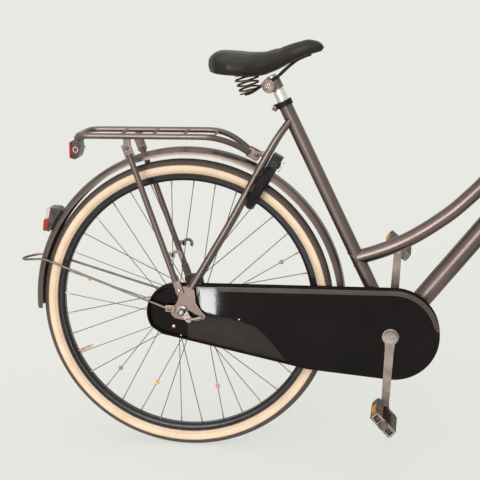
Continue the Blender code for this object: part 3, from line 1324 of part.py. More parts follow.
def make_lock_shackle():
    bar = tube(lock_arc(LOCK_RING_RADIUS, SHACKLE_TIP, SHACKLE_TAIL, 14), SHACKLE_RADIUS, sides=8)
    angle = math.radians(KNOB_ANGLE)
    inner, outer = LOCK_RING_RADIUS, LOCK_RING_RADIUS + 0.017
    stem = rod(in_lock(inner * math.cos(angle), inner * math.sin(angle)),
               in_lock(outer * math.cos(angle), outer * math.sin(angle)), 0.0026, 8)
    far = outer + 0.010
    knob = rod(in_lock((outer - 0.002) * math.cos(angle), (outer - 0.002) * math.sin(angle)),
               in_lock(far * math.cos(angle), far * math.sin(angle)), 0.0065, 10)
    return union(bar, stem, knob)


def make_lock_key():
    shank = rod(in_lock(*KEY_AT, 0.001), in_lock(*KEY_AT, 0.0190), 0.0030, 8)
    outline = arc(Vector((KEY_AT[0], 0.0, KEY_AT[1] + 0.0065)), 0.0070, -20.0, 200.0, 8)
    outline += arc(Vector((KEY_AT[0], 0.0, KEY_AT[1] - 0.0065)), 0.0070, 160.0, 380.0, 8)
    forward = Matrix.Translation(LOCK_NORMAL * 0.0188)
    bow = plate(outline, 0.0, 0.0020, place=forward @ lock_place())
    return union(shank, bow)


# Stand

def make_kickstand():
    """Folded up along the left chain stay; its outer half bends away from the wheel."""
    inner = STAND_BLOCK_HALF.y + GAP
    hub = across(STAND_PIVOT, inner, inner + 0.016, 0.0115, 12)
    line = [(0.418, inner + 0.009, 0.2830), (0.384, 0.0350, 0.2832), (0.270, 0.0560, 0.2850),
            (0.152, 0.0920, 0.2880)]
    leg = tube(line, 0.0080, sides=8)
    return union(hub, leg)


# Front end

CROWN_START, CROWN_END = 0.3900, HEAD_TUBE_START - HEADSET_HEIGHT - GAP
BLADE_Y = 0.0430


def make_fork():
    crown_middle = on_head_axis((CROWN_START + CROWN_END) / 2)
    half_height = (CROWN_END - CROWN_START) / 2
    crown = box(crown_middle - Vector((0.017, 0.053, half_height)),
                crown_middle + Vector((0.017, 0.053, half_height)),
                HEAD_ANGLE - math.pi / 2, crown_middle)
    steerer = rod(on_head_axis(CROWN_START + 0.004),
                  on_head_axis(HEAD_TUBE_END + HEADSET_HEIGHT + 0.004), STEERER_RADIUS, 14)
    lamp_bracket = rod(crown_middle + HEAD_FORWARD * 0.014, LAMP_FOOT, 0.004, 8)
    lamp_eye = rod(LAMP_FOOT - UP * 0.004, LAMP_FOOT + UP * (LAMP_SEAT - GAP), 0.0055, 8)
    parts = [steerer, lamp_bracket, lamp_eye]
    for side in SIDES:
        y = side * BLADE_Y
        end_y = side * (FRONT_DROPOUT_INNER + FRONT_DROPOUT_THICK)
        line = [shifted(on_head_axis(CROWN_START + 0.006), y),
                shifted(on_head_axis(0.280), y * 1.05),
                shifted(on_head_axis(0.180) + HEAD_FORWARD * 0.005, y * 1.12),
                shifted(on_head_axis(0.090) + HEAD_FORWARD * 0.026, y * 1.20),
                shifted(FRONT_AXLE + HEAD_UP * 0.020 - HEAD_FORWARD * 0.004, end_y)]
        taper = [1.0 - 0.36 * index / (len(line) - 1) for index in range(len(line))]
        parts.append(tube(line, 0.0125, sides=8, thickness=taper))
        middle = side * (FRONT_DROPOUT_INNER + FRONT_DROPOUT_THICK / 2)
        tip = arc(FRONT_AXLE, 0.0115, 150.0, 390.0, 10)
        top = FRONT_AXLE + HEAD_UP * 0.030
        parts.append(plate(tip + [(top.x + 0.006, top.z), (top.x - 0.006, top.z)], middle,
                           FRONT_DROPOUT_THICK))
    fork = union(crown, *parts)
    return cut(fork,
               bore(on_head_axis(QUILL_START - 0.01), on_head_axis(HEAD_TUBE_END + 0.1),
                    QUILL_RADIUS, 12),
               across_bore(FRONT_AXLE, -0.08, 0.08, FRONT_AXLE_RADIUS, 12))


QUILL_START = 0.540
QUILL_END = 0.735


def make_headset_upper():
    """The top cup and its locknut in one turned piece."""
    inner = (STEERER_RADIUS + GAP) / math.cos(math.pi / 14)
    body = HEAD_TUBE_RADIUS - 0.0040
    outside = HEAD_TUBE_RADIUS + 0.004
    nut = HEAD_TUBE_RADIUS + 0.001
    return turned([(inner, -0.010), (body, -0.010), (body, GAP), (outside, GAP),
                   (outside - 0.001, HEADSET_HEIGHT - 0.0035), (nut, HEADSET_HEIGHT - 0.0030),
                   (nut, HEADSET_HEIGHT + 0.0030), (inner, HEADSET_HEIGHT + 0.0030)],
                  on_head_axis(HEAD_TUBE_END), HEAD_UP, 14)


def make_stem():
    collar_start = HEAD_TUBE_END + HEADSET_HEIGHT + 0.004 + GAP
    quill = rod(on_head_axis(QUILL_START), on_head_axis(QUILL_END), QUILL_RADIUS, 12)
    collar = rod(on_head_axis(collar_start), on_head_axis(collar_start + 0.012), 0.0175, 12)
    top = on_head_axis(QUILL_END)
    neck = rod(top, BAR_CENTRE, 0.0130, 10)
    ball = rod(top - HEAD_UP * 0.016, top + HEAD_UP * 0.012, 0.0145, 12)
    clamp = across(BAR_CENTRE, -0.0190, 0.0190, BAR_RADIUS + 0.0065, 12)
    made = union(quill, collar, neck, ball, clamp)
    return cut(made, across_bore(BAR_CENTRE, -0.04, 0.04, BAR_RADIUS, 10))


GRIP_START = Vector((0.800, 0.2680, 1.0850))
GRIP_AWAY = Vector((-0.9550, 0.2600, -0.1000)).normalized()


def make_handlebar():
    end = GRIP_START + GRIP_AWAY * (GRIP_LENGTH - 0.004)
    left = [shifted(BAR_CENTRE, 0.022), Vector((0.8400, 0.0700, 1.0220)),
            Vector((0.8430, 0.1300, 1.0450)), Vector((0.8400, 0.1900, 1.0700)),
            Vector((0.8270, 0.2380, 1.0830)), GRIP_START - GRIP_AWAY * 0.004]
    left = through(left, steps=2) + [end]
    right = [shifted(point, -point.y) for point in reversed(left)]
    return tube(right + left, BAR_RADIUS, sides=8)


def make_grip(side):
    start = shifted(GRIP_START, side * GRIP_START.y)
    away = shifted(GRIP_AWAY, side * GRIP_AWAY.y)
    sleeve = turned([(0.0, 0.010), (GRIP_RADIUS - 0.001, 0.010), (GRIP_RADIUS, 0.022),
                     (GRIP_RADIUS - 0.002, 0.060), (GRIP_RADIUS, GRIP_LENGTH - 0.020),
                     (GRIP_RADIUS + 0.001, GRIP_LENGTH - 0.004), (0.0, GRIP_LENGTH)],
                    start, away, 12)
    return cut(sleeve, bore(start - away * 0.02, start + away * (GRIP_LENGTH - 0.0035),
                            BAR_RADIUS + 0.0002, 10))


LAMP_CENTRE = Vector((0.955, 0.0, 0.776))
LAMP_RADIUS = 0.034
LAMP_FOOT = LAMP_CENTRE + Vector((-0.012, 0.0, -0.0355))
LAMP_SEAT = 0.0042
AHEAD = Vector((1.0, 0.0, 0.0))


def make_headlamp_housing():
    shell = turned([(0.0, -0.040), (0.014, -0.037), (0.027, -0.022), (LAMP_RADIUS, 0.004),
                    (LAMP_RADIUS, 0.030), (LAMP_RADIUS - 0.002, 0.030),
                    (LAMP_RADIUS - 0.002, 0.022), (0.0, 0.022)], LAMP_CENTRE, AHEAD, 16)
    foot = rod(LAMP_FOOT + UP * LAMP_SEAT, LAMP_FOOT + UP * 0.014, 0.006, 10)
    return union(shell, foot)


def make_headlamp_lens():
    return turned([(0.0, 0.0223), (LAMP_RADIUS - 0.0024, 0.0223), (LAMP_RADIUS - 0.0024, 0.030),
                   (0.018, 0.0340), (0.0, 0.0352)], LAMP_CENTRE, AHEAD, 16)


def make_front_axle():
    inner = FRONT_FLANGE_Y + 0.010 + GAP
    plate_in, plate_out = FRONT_DROPOUT_INNER - GAP, FRONT_DROPOUT_INNER + FRONT_DROPOUT_THICK
    nut = plate_out + 0.0024 + GAP * 2
    right = [(0.0, -nut - 0.0130), (0.0060, -nut - 0.0115), (0.0085, -nut),
             (FRONT_AXLE_RADIUS, -nut), (FRONT_AXLE_RADIUS, -plate_in),
             (0.0080, -plate_in), (0.0080, -inner), (FRONT_AXLE_RADIUS, -inner)]
    return turned(right + [(r, -y) for r, y in reversed(right)], FRONT_AXLE, LEFT, 10)


# Assembly: what moves hangs on an empty on its joint's axis

def build_fixed_pieces():
    piece("frame", make_frame(), "frame_paint")
    piece("bottom_bracket", make_bottom_bracket(), "steel")
    piece("headset_lower", headset_cup(HEAD_TUBE_START, -HEAD_UP), "steel")
    piece("headset_upper", make_headset_upper(), "steel")
    piece("seat_clamp", make_seat_clamp(), "black_paint")
    piece("rear_mudguard", guard_shell(GUARD_CENTRE, 8.0, 183.6, 21), "frame_paint")
    piece("rear_mudguard_stay", make_rear_guard_stay(), "stay_brown")
    piece("carrier_deck", make_carrier_deck(), "frame_paint")
    for side in SIDES:
        piece(f"carrier_leg_{SIDE_NAMES[side]}", make_carrier_leg(side), "frame_paint")
        piece(f"rear_axle_nut_{SIDE_NAMES[side]}", make_axle_nut(side), "steel")
        piece(f"chain_tensioner_{SIDE_NAMES[side]}", make_chain_tensioner(side), "steel")
    piece("carrier_lamp_housing", make_carrier_lamp_housing(), "lamp_grey")
    piece("carrier_lamp_lens", make_carrier_lamp_lens(), "lens_red")
    piece("mudguard_lamp_housing", make_guard_lamp_housing(), "lamp_grey")
    piece("mudguard_lamp_lens", make_guard_lamp_lens(), "lens_red")
    piece("ring_lock_body", make_lock_body(), "black_paint")
    piece("chain_case_back", make_chain_case_back(), "case_black")
    piece("chain_case_cover", make_chain_case_cover(), "case_black")
    piece("chain_case_band", make_chain_case_band(), "case_band")
    piece("chain_case_rear_cap", make_chain_case_rear_cap(), "case_black")
    piece("chain", make_chain(), "steel")
    piece("rear_axle", make_rear_axle(), "steel")
    piece("coaster_brake_arm", make_brake_arm(), "steel")


def build_moving_pieces():
    seat = pivot("seat_height", on_seat_tube(SEAT_TUBE_LENGTH))
    piece("seat_post", make_seat_post(), "aluminium", seat)
    piece("saddle_clamp", make_saddle_clamp(), "rust_black", seat)
    piece("saddle_rails", make_saddle_rails(), "rust_black", seat)
    piece("saddle_cover", make_saddle_cover(), "saddle_black", seat)
    for side in SIDES:
        piece(f"saddle_spring_{SIDE_NAMES[side]}", make_saddle_spring(side), "rust_black", seat)

    wheel = pivot("rear_wheel_axis", REAR_AXLE)
    piece("rear_tyre", make_tyre(REAR_AXLE), "tyre_cream", wheel)
    piece("rear_rim", make_rim(REAR_AXLE), "rim_black", wheel)
    piece("rear_hub", make_rear_hub(), "steel", wheel)
    driver = pivot("rear_sprocket_axis", REAR_AXLE)
    piece("rear_sprocket", make_rear_sprocket(), "steel", driver)

    crank = pivot("crank_axis", BOTTOM_BRACKET)
    piece("crank_spindle", make_crank_spindle(), "steel", crank)
    piece("chainring", make_chainring(), "steel", crank)
    for side in SIDES:
        name = SIDE_NAMES[side]
        piece(f"crank_arm_{name}", make_crank_arm(side), "aluminium", crank)
        piece(f"pedal_spindle_{name}", make_pedal_spindle(side), "steel", crank)
        pedal = pivot(f"pedal_axis_{name}", PEDAL_AXES[side], crank)
        piece(f"pedal_{name}", make_pedal(side), "pedal_grey", pedal)

    lock = pivot("ring_lock_axis", LOCK_CENTRE)
    piece("ring_lock_shackle", make_lock_shackle(), "steel", lock)
    key = pivot("ring_lock_key_axis", in_lock(*KEY_AT))
    piece("ring_lock_key", make_lock_key(), "steel", key)
    stand = pivot("kickstand_axis", STAND_PIVOT)
    piece("kickstand", make_kickstand(), "black_paint", stand)

    steering = pivot("steering_axis", on_head_axis(HEAD_TUBE_START))
    piece("fork", make_fork(), "frame_paint", steering)
    piece("stem", make_stem(), "aluminium", steering)
    piece("handlebar", make_handlebar(), "aluminium", steering)
    for side in SIDES:
        piece(f"grip_{SIDE_NAMES[side]}", make_grip(side), "grip_black", steering)
    piece("headlamp_housing", make_headlamp_housing(), "black_paint", steering)
    piece("headlamp_lens", make_headlamp_lens(), "lens_clear", steering)
    piece("front_mudguard", guard_shell(FRONT_AXLE, 55.0, 205.0, 18), "frame_paint", steering)
    piece("front_mudguard_stay", make_front_guard_stay(), "stay_brown", steering)
    piece("front_axle", make_front_axle(), "steel", steering)
    front = pivot("front_wheel_axis", FRONT_AXLE, steering)
    piece("front_tyre", make_tyre(FRONT_AXLE), "tyre_cream", front)
    piece("front_rim", make_rim(FRONT_AXLE), "rim_black", front)
    piece("front_hub", make_front_hub(), "steel", front)


build_fixed_pieces()
build_moving_pieces()
print(f"{len(PIECES)} pieces")
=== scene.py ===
# %% [markdown]
# # A step-through city bicycle
# The steel frame, wheels and moving parts come from the CAD model as a fixed frame. This
# lesson dresses them: each faceted solid gets a smooth piece in its place, with a finish
# made only of nodes. X points forward, Y to the rider's left and Z up, all in metres.

# %% Start
import json
import math

import bpy
from mathutils import Matrix, Vector


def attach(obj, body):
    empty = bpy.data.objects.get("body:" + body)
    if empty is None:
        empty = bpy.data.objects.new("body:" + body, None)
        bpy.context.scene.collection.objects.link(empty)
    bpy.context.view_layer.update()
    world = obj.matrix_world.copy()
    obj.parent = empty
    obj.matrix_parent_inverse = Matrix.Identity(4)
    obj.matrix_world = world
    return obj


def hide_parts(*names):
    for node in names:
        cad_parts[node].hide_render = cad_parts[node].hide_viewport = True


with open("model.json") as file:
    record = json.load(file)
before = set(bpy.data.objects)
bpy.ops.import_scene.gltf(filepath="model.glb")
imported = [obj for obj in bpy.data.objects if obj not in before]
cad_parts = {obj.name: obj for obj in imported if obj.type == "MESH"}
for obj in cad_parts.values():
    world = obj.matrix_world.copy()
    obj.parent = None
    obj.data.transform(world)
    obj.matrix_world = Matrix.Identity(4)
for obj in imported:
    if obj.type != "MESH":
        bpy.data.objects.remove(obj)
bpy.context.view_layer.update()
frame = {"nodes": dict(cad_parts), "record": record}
nodes = frame["nodes"]
record = frame["record"]
scene = bpy.context.scene
body_of = {node: body for body, members in record["behaviour"]["bodies"].items()
           for node in members}

# %% [markdown]
# ## Working like a modeller
# An operator acts on everything that is selected, so each helper first leaves one object
# selected, as a click on it would. A closed section ring is a circle primitive whose corners
# are put at typed places, as one types them in the sidebar.

# %% Helpers for selecting and cleaning
FORWARD = Vector((1.0, 0.0, 0.0))
LEFT = Vector((0.0, 1.0, 0.0))
UP = Vector((0.0, 0.0, 1.0))
ORIGIN = Vector((0.0, 0.0, 0.0))
SIDES = {"right": -1, "left": 1}
WELD = 0.000002
NO_TURN = Matrix.Identity(4)


def only(piece):
    """Leave this one object selected and active."""
    bpy.ops.object.select_all(action="DESELECT")
    piece.select_set(True)
    bpy.context.view_layer.objects.active = piece


def cleaned(piece, weld=WELD):
    """Weld the doubles, then turn all faces outwards."""
    only(piece)
    bpy.ops.object.mode_set(mode="EDIT")
    bpy.ops.mesh.select_all(action="SELECT")
    bpy.ops.mesh.remove_doubles(threshold=weld)
    bpy.ops.mesh.normals_make_consistent(inside=False)
    bpy.ops.object.mode_set(mode="OBJECT")
    return piece


def modified(piece, kind, **settings):
    """Add a modifier, set it up and apply it."""
    only(piece)
    modifier = piece.modifiers.new(kind.title(), kind)
    for key, value in settings.items():
        setattr(modifier, key, value)
    bpy.ops.object.modifier_apply(modifier=modifier.name)
    return piece


def softened(piece, width, segments=2, angle=35.0):
    """Round the edges that turn by more than an angle."""
    return modified(piece, "BEVEL", width=width, segments=segments, limit_method="ANGLE",
                    angle_limit=math.radians(angle), use_clamp_overlap=True)


def joined(pieces):
    """Several pieces as one object."""
    only(pieces[0])
    for piece in pieces[1:]:
        piece.select_set(True)
    if len(pieces) > 1:
        bpy.ops.object.join()
    return bpy.context.object


def copied(piece, matrix):
    """A copy with its own mesh, moved as a whole; a mirrored one is turned right way out."""
    twin = piece.copy()
    twin.data = piece.data.copy()
    scene.collection.objects.link(twin)
    twin.data.transform(matrix)
    if matrix.determinant() < 0:
        twin.data.flip_normals()
    return twin


def both_sides(piece):
    """A piece and its mirror image as one object."""
    return joined([piece, copied(piece, Matrix.Scale(-1.0, 4, LEFT))])


print("each piece is a mesh of its own, welded within", WELD, "m")


# %% [markdown]
# ## Three ways to make a shape
# A tube is a Bezier curve with a round bevel, made a mesh. A turned piece is a section ring
# spun about its axle. A plate is an outline filled and extruded. The corners of a tube's
# path are rounded first, because a real tube is bent round a former.

# %% Helpers for paths
def bent(points, reach=0.02, steps=5):
    """The path with each corner drawn as a short curve that starts a reach away from it."""
    points = [Vector(point) for point in points]
    path = [points[0]]
    for before, corner, after in zip(points, points[1:], points[2:]):
        entry, leave = before - corner, after - corner
        entry *= min(reach, 0.48 * entry.length) / entry.length
        leave *= min(reach, 0.48 * leave.length) / leave.length
        for step in range(steps + 1):
            t = step / steps
            path.append(corner + entry * (1 - t) ** 2 + leave * t ** 2)
    return path + [points[-1]]


def mirrored(points):
    """The same points on the bicycle's other side, run backwards."""
    return [(x, -y, z) for x, y, z in reversed(points)]


def there_and_back(half):
    """A section that is the same on both sides, from its right half."""
    return [(r, -y) for r, y in half] + [(r, y) for r, y in reversed(half)]


def arc_points(u, v, radius, start, end, steps):
    """The points of an arc, from one angle in degrees to another."""
    turns = [math.radians(start + (end - start) * i / steps) for i in range(steps + 1)]
    return [(u + radius * math.cos(turn), v + radius * math.sin(turn)) for turn in turns]


def circle_at(u, v, radius, count=24):
    return arc_points(u, v, radius, 0.0, 360.0, count)[:-1]


def around(centre, radius, angle, across):
    """The point at a radius and an angle from an axle, seen from the bicycle's right."""
    turn = math.radians(angle)
    return centre + Vector((radius * math.cos(turn), across, radius * math.sin(turn)))


def flat_loop(points, reach=0.004, steps=3):
    """An outline with rounded corners, as (u, v) pairs."""
    ends = [points[-1], *points, points[0]]
    path = bent([(u, 0.0, v) for u, v in ends], reach, steps)
    return [(point.x, point.z) for point in path[1:-1]]


print("a quarter circle:", arc_points(0.0, 0.0, 1.0, 0.0, 90.0, 1))


# %% Helpers for tubes, turned pieces and plates
def tube(points, radius, sides=20, widths=None, closed=False):
    """A round tube along a path, with a width factor for each point where it tapers."""
    bpy.ops.object.select_all(action="DESELECT")
    bpy.ops.curve.primitive_bezier_curve_add(location=ORIGIN)
    curve = bpy.context.object.data
    knots = curve.splines[0].bezier_points
    knots.add(len(points) - 2)
    for index, point in enumerate(points):
        knots[index].co = point
        knots[index].handle_left_type = "VECTOR"
        knots[index].handle_right_type = "VECTOR"
        knots[index].radius = widths[index] if widths else 1.0
    curve.splines[0].use_cyclic_u = closed
    curve.resolution_u = 1
    curve.bevel_depth = radius
    curve.bevel_resolution = sides // 2 - 2
    curve.use_fill_caps = not closed
    bpy.ops.object.convert(target="MESH")
    return cleaned(bpy.context.object)


def ring_of(points):
    """A closed ring of edges through the points."""
    bpy.ops.object.select_all(action="DESELECT")
    bpy.ops.mesh.primitive_circle_add(vertices=len(points), radius=1.0, location=ORIGIN)
    ring = bpy.context.object
    for vertex, point in zip(ring.data.vertices, points):
        vertex.co = point
    return ring


def turned(profile, origin=ORIGIN, axis=LEFT, steps=48, start=None, sweep=360.0):
    """A closed section of (radius, along) pairs, spun about an axis."""
    origin, axis = Vector(origin), Vector(axis).normalized()
    out = Vector(start) if start else axis.orthogonal().normalized()
    piece = ring_of([origin + out * radius + axis * along for radius, along in profile])
    only(piece)
    bpy.ops.object.mode_set(mode="EDIT")
    bpy.ops.mesh.select_all(action="SELECT")
    bpy.ops.mesh.spin(steps=steps, angle=math.radians(sweep), center=origin, axis=axis)
    bpy.ops.mesh.select_all(action="SELECT")
    bpy.ops.mesh.remove_doubles(threshold=WELD)
    if sweep < 360.0:
        bpy.ops.mesh.fill_holes(sides=0)
    bpy.ops.object.mode_set(mode="OBJECT")
    return cleaned(piece)


def plate(outline, low, high, holes=(), bevel=0.0):
    """An outline of the side view, filled and extruded from one y to another."""
    piece = joined([ring_of([(u, low, v) for u, v in loop]) for loop in (outline, *holes)])
    only(piece)
    bpy.ops.object.mode_set(mode="EDIT")
    bpy.ops.mesh.select_all(action="SELECT")
    if holes:
        bpy.ops.mesh.fill()
    else:
        bpy.ops.mesh.edge_face_add()
    bpy.ops.mesh.select_all(action="SELECT")
    bpy.ops.mesh.extrude_region_move(TRANSFORM_OT_translate={"value": LEFT * (high - low)})
    bpy.ops.object.mode_set(mode="OBJECT")
    cleaned(piece)
    return softened(piece, bevel) if bevel else piece


def block(size, middle, bevel, turn=NO_TURN):
    """A box with rounded edges, turned about its own middle."""
    bpy.ops.object.select_all(action="DESELECT")
    bpy.ops.mesh.primitive_cube_add(size=1.0, location=ORIGIN)
    piece = bpy.context.object
    piece.data.transform(Matrix.Diagonal((*size, 1.0)))
    softened(piece, bevel)
    piece.data.transform(Matrix.Translation(middle) @ turn)
    return piece


def rod(start, end, radius, sides=16, bevel=0.0):
    """A straight round bar."""
    piece = tube([start, end], radius, sides)
    return softened(piece, bevel) if bevel else piece


def bolt(head, axis, radius, height, hexagon=False):
    """A domed or six-sided bolt head that stands on a surface."""
    if hexagon:
        section = [(0, 0), (radius, 0), (radius, height * 0.8), (radius * 0.86, height),
                   (0, height)]
        return turned(section, head, axis, 6)
    section = [(0, 0), (radius, 0), (radius, height * 0.45), (radius * 0.8, height * 0.85),
               (radius * 0.45, height), (radius * 0.38, height * 0.6), (0, height * 0.6)]
    return turned(section, head, axis, 20)


def filler_bead(axis_start, axis, through, stub_start, stub, radius, thick=0.0016):
    """The bead where a stub tube meets another tube, along the real line where they cross."""
    axis, stub = axis.normalized(), stub.normalized()
    side = stub.orthogonal().normalized()
    other = stub.cross(side)
    path = []
    for u, v in circle_at(0.0, 0.0, radius, 32):
        start = stub_start + side * u + other * v
        gap = start - axis_start
        flat = gap - axis * gap.dot(axis)
        pace = stub - axis * stub.dot(axis)
        a, b, c = pace.dot(pace), 2 * flat.dot(pace), flat.dot(flat) - through ** 2
        root = b * b - 4 * a * c
        if root < 0:
            continue
        path.append(start + stub * ((-b + math.sqrt(root)) / (2 * a)))
    return tube(path, thick, 8, closed=True)


# %% [markdown]
# ## Fitting a piece to the bicycle
# Each finished piece rides on the body of the solid that it stands for, so that it moves
# with that solid. Small forged or moulded pieces are a copy of their solid with its triangles
# joined into flat faces, its edges rounded and its surface smoothed.

# %% Helpers for fitting
SOLID_WELD = 0.00001


def fitted(piece, name, finish, node, hides=False, smooth=35.0):
    """Name, smooth and paint a piece, and let it ride with the solid that it belongs to."""
    piece.name = name
    piece.data.name = name
    only(piece)
    bpy.ops.object.transform_apply(location=True, rotation=True, scale=True)
    bpy.ops.object.shade_smooth_by_angle(angle=math.radians(smooth))
    modified(piece, "WEIGHTED_NORMAL", keep_sharp=True, weight=50)
    piece.data.materials.clear()
    piece.data.materials.append(finish)
    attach(piece, body_of[node])
    if hides:
        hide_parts(node)
    print(name + ":", len(piece.data.polygons), "faces")
    return piece


def bare_copy(node):
    """A copy of a solid without the marks that make it part of the fixed frame."""
    piece = nodes[node].copy()
    piece.data = nodes[node].data.copy()
    scene.collection.objects.link(piece)
    piece.parent = None
    piece.matrix_world = NO_TURN
    piece.hide_render = False
    piece.hide_viewport = False
    for key in list(piece.keys()):
        del piece[key]
    return piece


def dressed(node, finish, bevel, segments=2, angle=35.0):
    """A smooth piece from the solid itself: flat faces joined, then edges rounded."""
    piece = cleaned(bare_copy(node), SOLID_WELD)
    only(piece)
    bpy.ops.object.mode_set(mode="EDIT")
    bpy.ops.mesh.select_all(action="SELECT")
    bpy.ops.mesh.dissolve_limited(angle_limit=math.radians(1.0))
    bpy.ops.object.mode_set(mode="OBJECT")
    softened(piece, bevel, segments, angle)
    return fitted(piece, node + "_smooth", finish, node, True)


# %% [markdown]
# ## Finishes
# Every finish is a few nodes on the piece's own coordinates: a large soft pattern for the
# tone, a second one for how worn or polished the surface is, and a fine one for its grain.
# What is the same all over is set on the shader's own socket.

# %% Helpers for finishes
def linked(tree, source, target):
    tree.links.new(source, target)


def noise(tree, scale, detail=3.0, kind="ShaderNodeTexNoise"):
    """A pattern on the piece's own coordinates."""
    place = tree.nodes.new("ShaderNodeTexCoord")
    pattern = tree.nodes.new(kind)
    pattern.inputs["Scale"].default_value = scale
    if "Detail" in pattern.inputs:
        pattern.inputs["Detail"].default_value = detail
    linked(tree, place.outputs["Object"], pattern.inputs["Vector"])
    return pattern.outputs["Fac"] if "Fac" in pattern.outputs else pattern.outputs["Distance"]


def ramp(tree, source, stops):
    """Colours by value: all the places are set first, because they keep the stops sorted."""
    node = tree.nodes.new("ShaderNodeValToRGB")
    elements = node.color_ramp.elements
    while len(elements) < len(stops):
        elements.new(0.5)
    for element, (place, _) in zip(elements, stops):
        element.position = place
    for element, (_, colour) in zip(elements, stops):
        element.color = (*colour, 1.0)
    linked(tree, source, node.inputs["Fac"])
    return node.outputs["Color"]


def spread(tree, source, low, high, start=0.3, end=0.7):
    """A value's range from start to end, spread from low to high."""
    node = tree.nodes.new("ShaderNodeMapRange")
    for key, value in (("From Min", start), ("From Max", end), ("To Min", low), ("To Max", high)):
        node.inputs[key].default_value = value
    linked(tree, source, node.inputs["Value"])
    return node.outputs["Result"]


def worked_out(tree, how, first, second=0.0):
    """A Math node on two values, each a number or another node's output."""
    node = tree.nodes.new("ShaderNodeMath")
    node.operation = how
    for socket, value in zip(node.inputs, (first, second)):
        if isinstance(value, float):
            socket.default_value = value
        else:
            linked(tree, value, socket)
    return node.outputs["Value"]


def bumped(tree, height, distance, strength=1.0):
    node = tree.nodes.new("ShaderNodeBump")
    node.inputs["Distance"].default_value = distance
    node.inputs["Strength"].default_value = strength
    linked(tree, height, node.inputs["Height"])
    shader = tree.nodes["Principled BSDF"]
    linked(tree, node.outputs["Normal"], shader.inputs["Normal"])


def shaded(colour, amount):
    return tuple(min(1.0, part * amount) for part in colour)


def coloured(tree, colour):
    linked(tree, colour, tree.nodes["Principled BSDF"].inputs["Base Color"])


def worn_finish(name, rough, metal, specular, worn_scale, rough_spread):
    """A material without colour or grain yet, with more and less polished places."""
    material = bpy.data.materials.new(name)
    material.use_nodes = True
    tree = material.node_tree
    shader = tree.nodes["Principled BSDF"]
    shader.inputs["Metallic"].default_value = metal
    shader.inputs["Specular IOR Level"].default_value = specular
    worn = spread(tree, noise(tree, worn_scale, 5.0), rough - rough_spread, rough + rough_spread)
    linked(tree, worn, shader.inputs["Roughness"])
    return material


def toned(tree, colour, tone, scale):
    """Colour a finish with soft darker and lighter places."""
    coloured(tree, ramp(tree, noise(tree, scale, 4.0), [(0.32, shaded(colour, tone[0])),
                                                        (0.68, shaded(colour, tone[1]))]))


def finish_of(name, colour, rough, metal=0.0, tone=(0.82, 1.15), tone_scale=14.0,
              rough_spread=0.07, grain=700.0, height=0.00004, specular=0.5):
    material = worn_finish(name, rough, metal, specular, tone_scale * 2.3, rough_spread)
    toned(material.node_tree, colour, tone, tone_scale)
    bumped(material.node_tree, noise(material.node_tree, grain, 2.0), height)
    return material


# %% Finishes of metal, paint and plastic
TAUPE = (0.150, 0.114, 0.103)
taupe_paint = finish_of("taupe_paint", TAUPE, 0.34, metal=0.92, tone=(0.88, 1.12), tone_scale=9.0,
                        rough_spread=0.04, grain=2600.0, height=0.000004, specular=0.3)
black_gloss = finish_of("black_gloss", (0.0050, 0.0032, 0.0032), 0.050, tone=(0.75, 1.4),
                        tone_scale=6.0, rough_spread=0.015, grain=160.0, height=0.00001,
                        specular=0.16)
cap_brown = finish_of("satin_cap_brown", (0.0235, 0.0155, 0.0130), 0.45, tone=(0.85, 1.15),
                      tone_scale=40.0, specular=0.15)
case_wall = finish_of("case_wall_black", (0.022, 0.016, 0.014), 0.6, tone=(0.8, 1.2),
                      tone_scale=22.0, specular=0.0)
band_grey = finish_of("band_grey", (0.074, 0.056, 0.050), 0.42, metal=0.2, tone=(0.85, 1.12),
                      tone_scale=22.0, specular=0.2)
black_paint = finish_of("black_paint", (0.012, 0.010, 0.011), 0.40, tone=(0.8, 1.3),
                        tone_scale=18.0, specular=0.12)
black_plastic = finish_of("black_plastic", (0.016, 0.015, 0.016), 0.46, tone=(0.8, 1.2),
                          tone_scale=30.0, specular=0.3)
steel = finish_of("bright_steel", (0.47, 0.44, 0.42), 0.27, metal=1.0, tone=(0.70, 1.12),
                  tone_scale=60.0, rough_spread=0.08)
spoke_steel = finish_of("spoke_steel", (0.150, 0.132, 0.124), 0.52, metal=1.0, tone=(0.75, 1.15),
                        tone_scale=30.0)
aluminium = finish_of("forged_aluminium", (0.31, 0.245, 0.212), 0.42, metal=1.0,
                      tone=(0.72, 1.16), tone_scale=34.0, rough_spread=0.07, grain=900.0,
                      height=0.00005)
dark_ring = finish_of("dull_crank_ring", (0.16, 0.13, 0.115), 0.42, metal=1.0, tone=(0.7, 1.2),
                      tone_scale=60.0)
post_metal = finish_of("pale_post_metal", (0.76, 0.71, 0.69), 0.34, metal=0.85, tone=(0.92, 1.04),
                       tone_scale=30.0)
copper = finish_of("coppery_brass", (0.60, 0.33, 0.22), 0.35, metal=1.0, tone=(0.8, 1.15),
                   tone_scale=90.0)
nipple_brass = finish_of("dull_nipple_brass", (0.42, 0.31, 0.25), 0.36, metal=1.0,
                         tone=(0.7, 1.2), tone_scale=90.0)
bar_chrome = finish_of("bar_chrome", (0.58, 0.56, 0.55), 0.20, metal=1.0, tone=(0.90, 1.05),
                       tone_scale=24.0, rough_spread=0.05)
brown_wire = finish_of("browned_wire", (0.190, 0.145, 0.125), 0.40, metal=0.9, tone=(0.75, 1.2),
                       tone_scale=40.0)
rim_black = finish_of("rim_black", (0.016, 0.014, 0.016), 0.25, metal=0.35, tone=(0.85, 1.2),
                      tone_scale=20.0, specular=0.35)
lamp_grey = finish_of("lamp_grey", (0.042, 0.036, 0.036), 0.30, tone=(0.45, 1.9), tone_scale=60.0,
                      specular=0.3)
red_lens = finish_of("red_lens", (0.36, 0.018, 0.016), 0.22, tone=(0.70, 1.2), tone_scale=60.0,
                     rough_spread=0.04, grain=900.0, height=0.0001, specular=0.35)
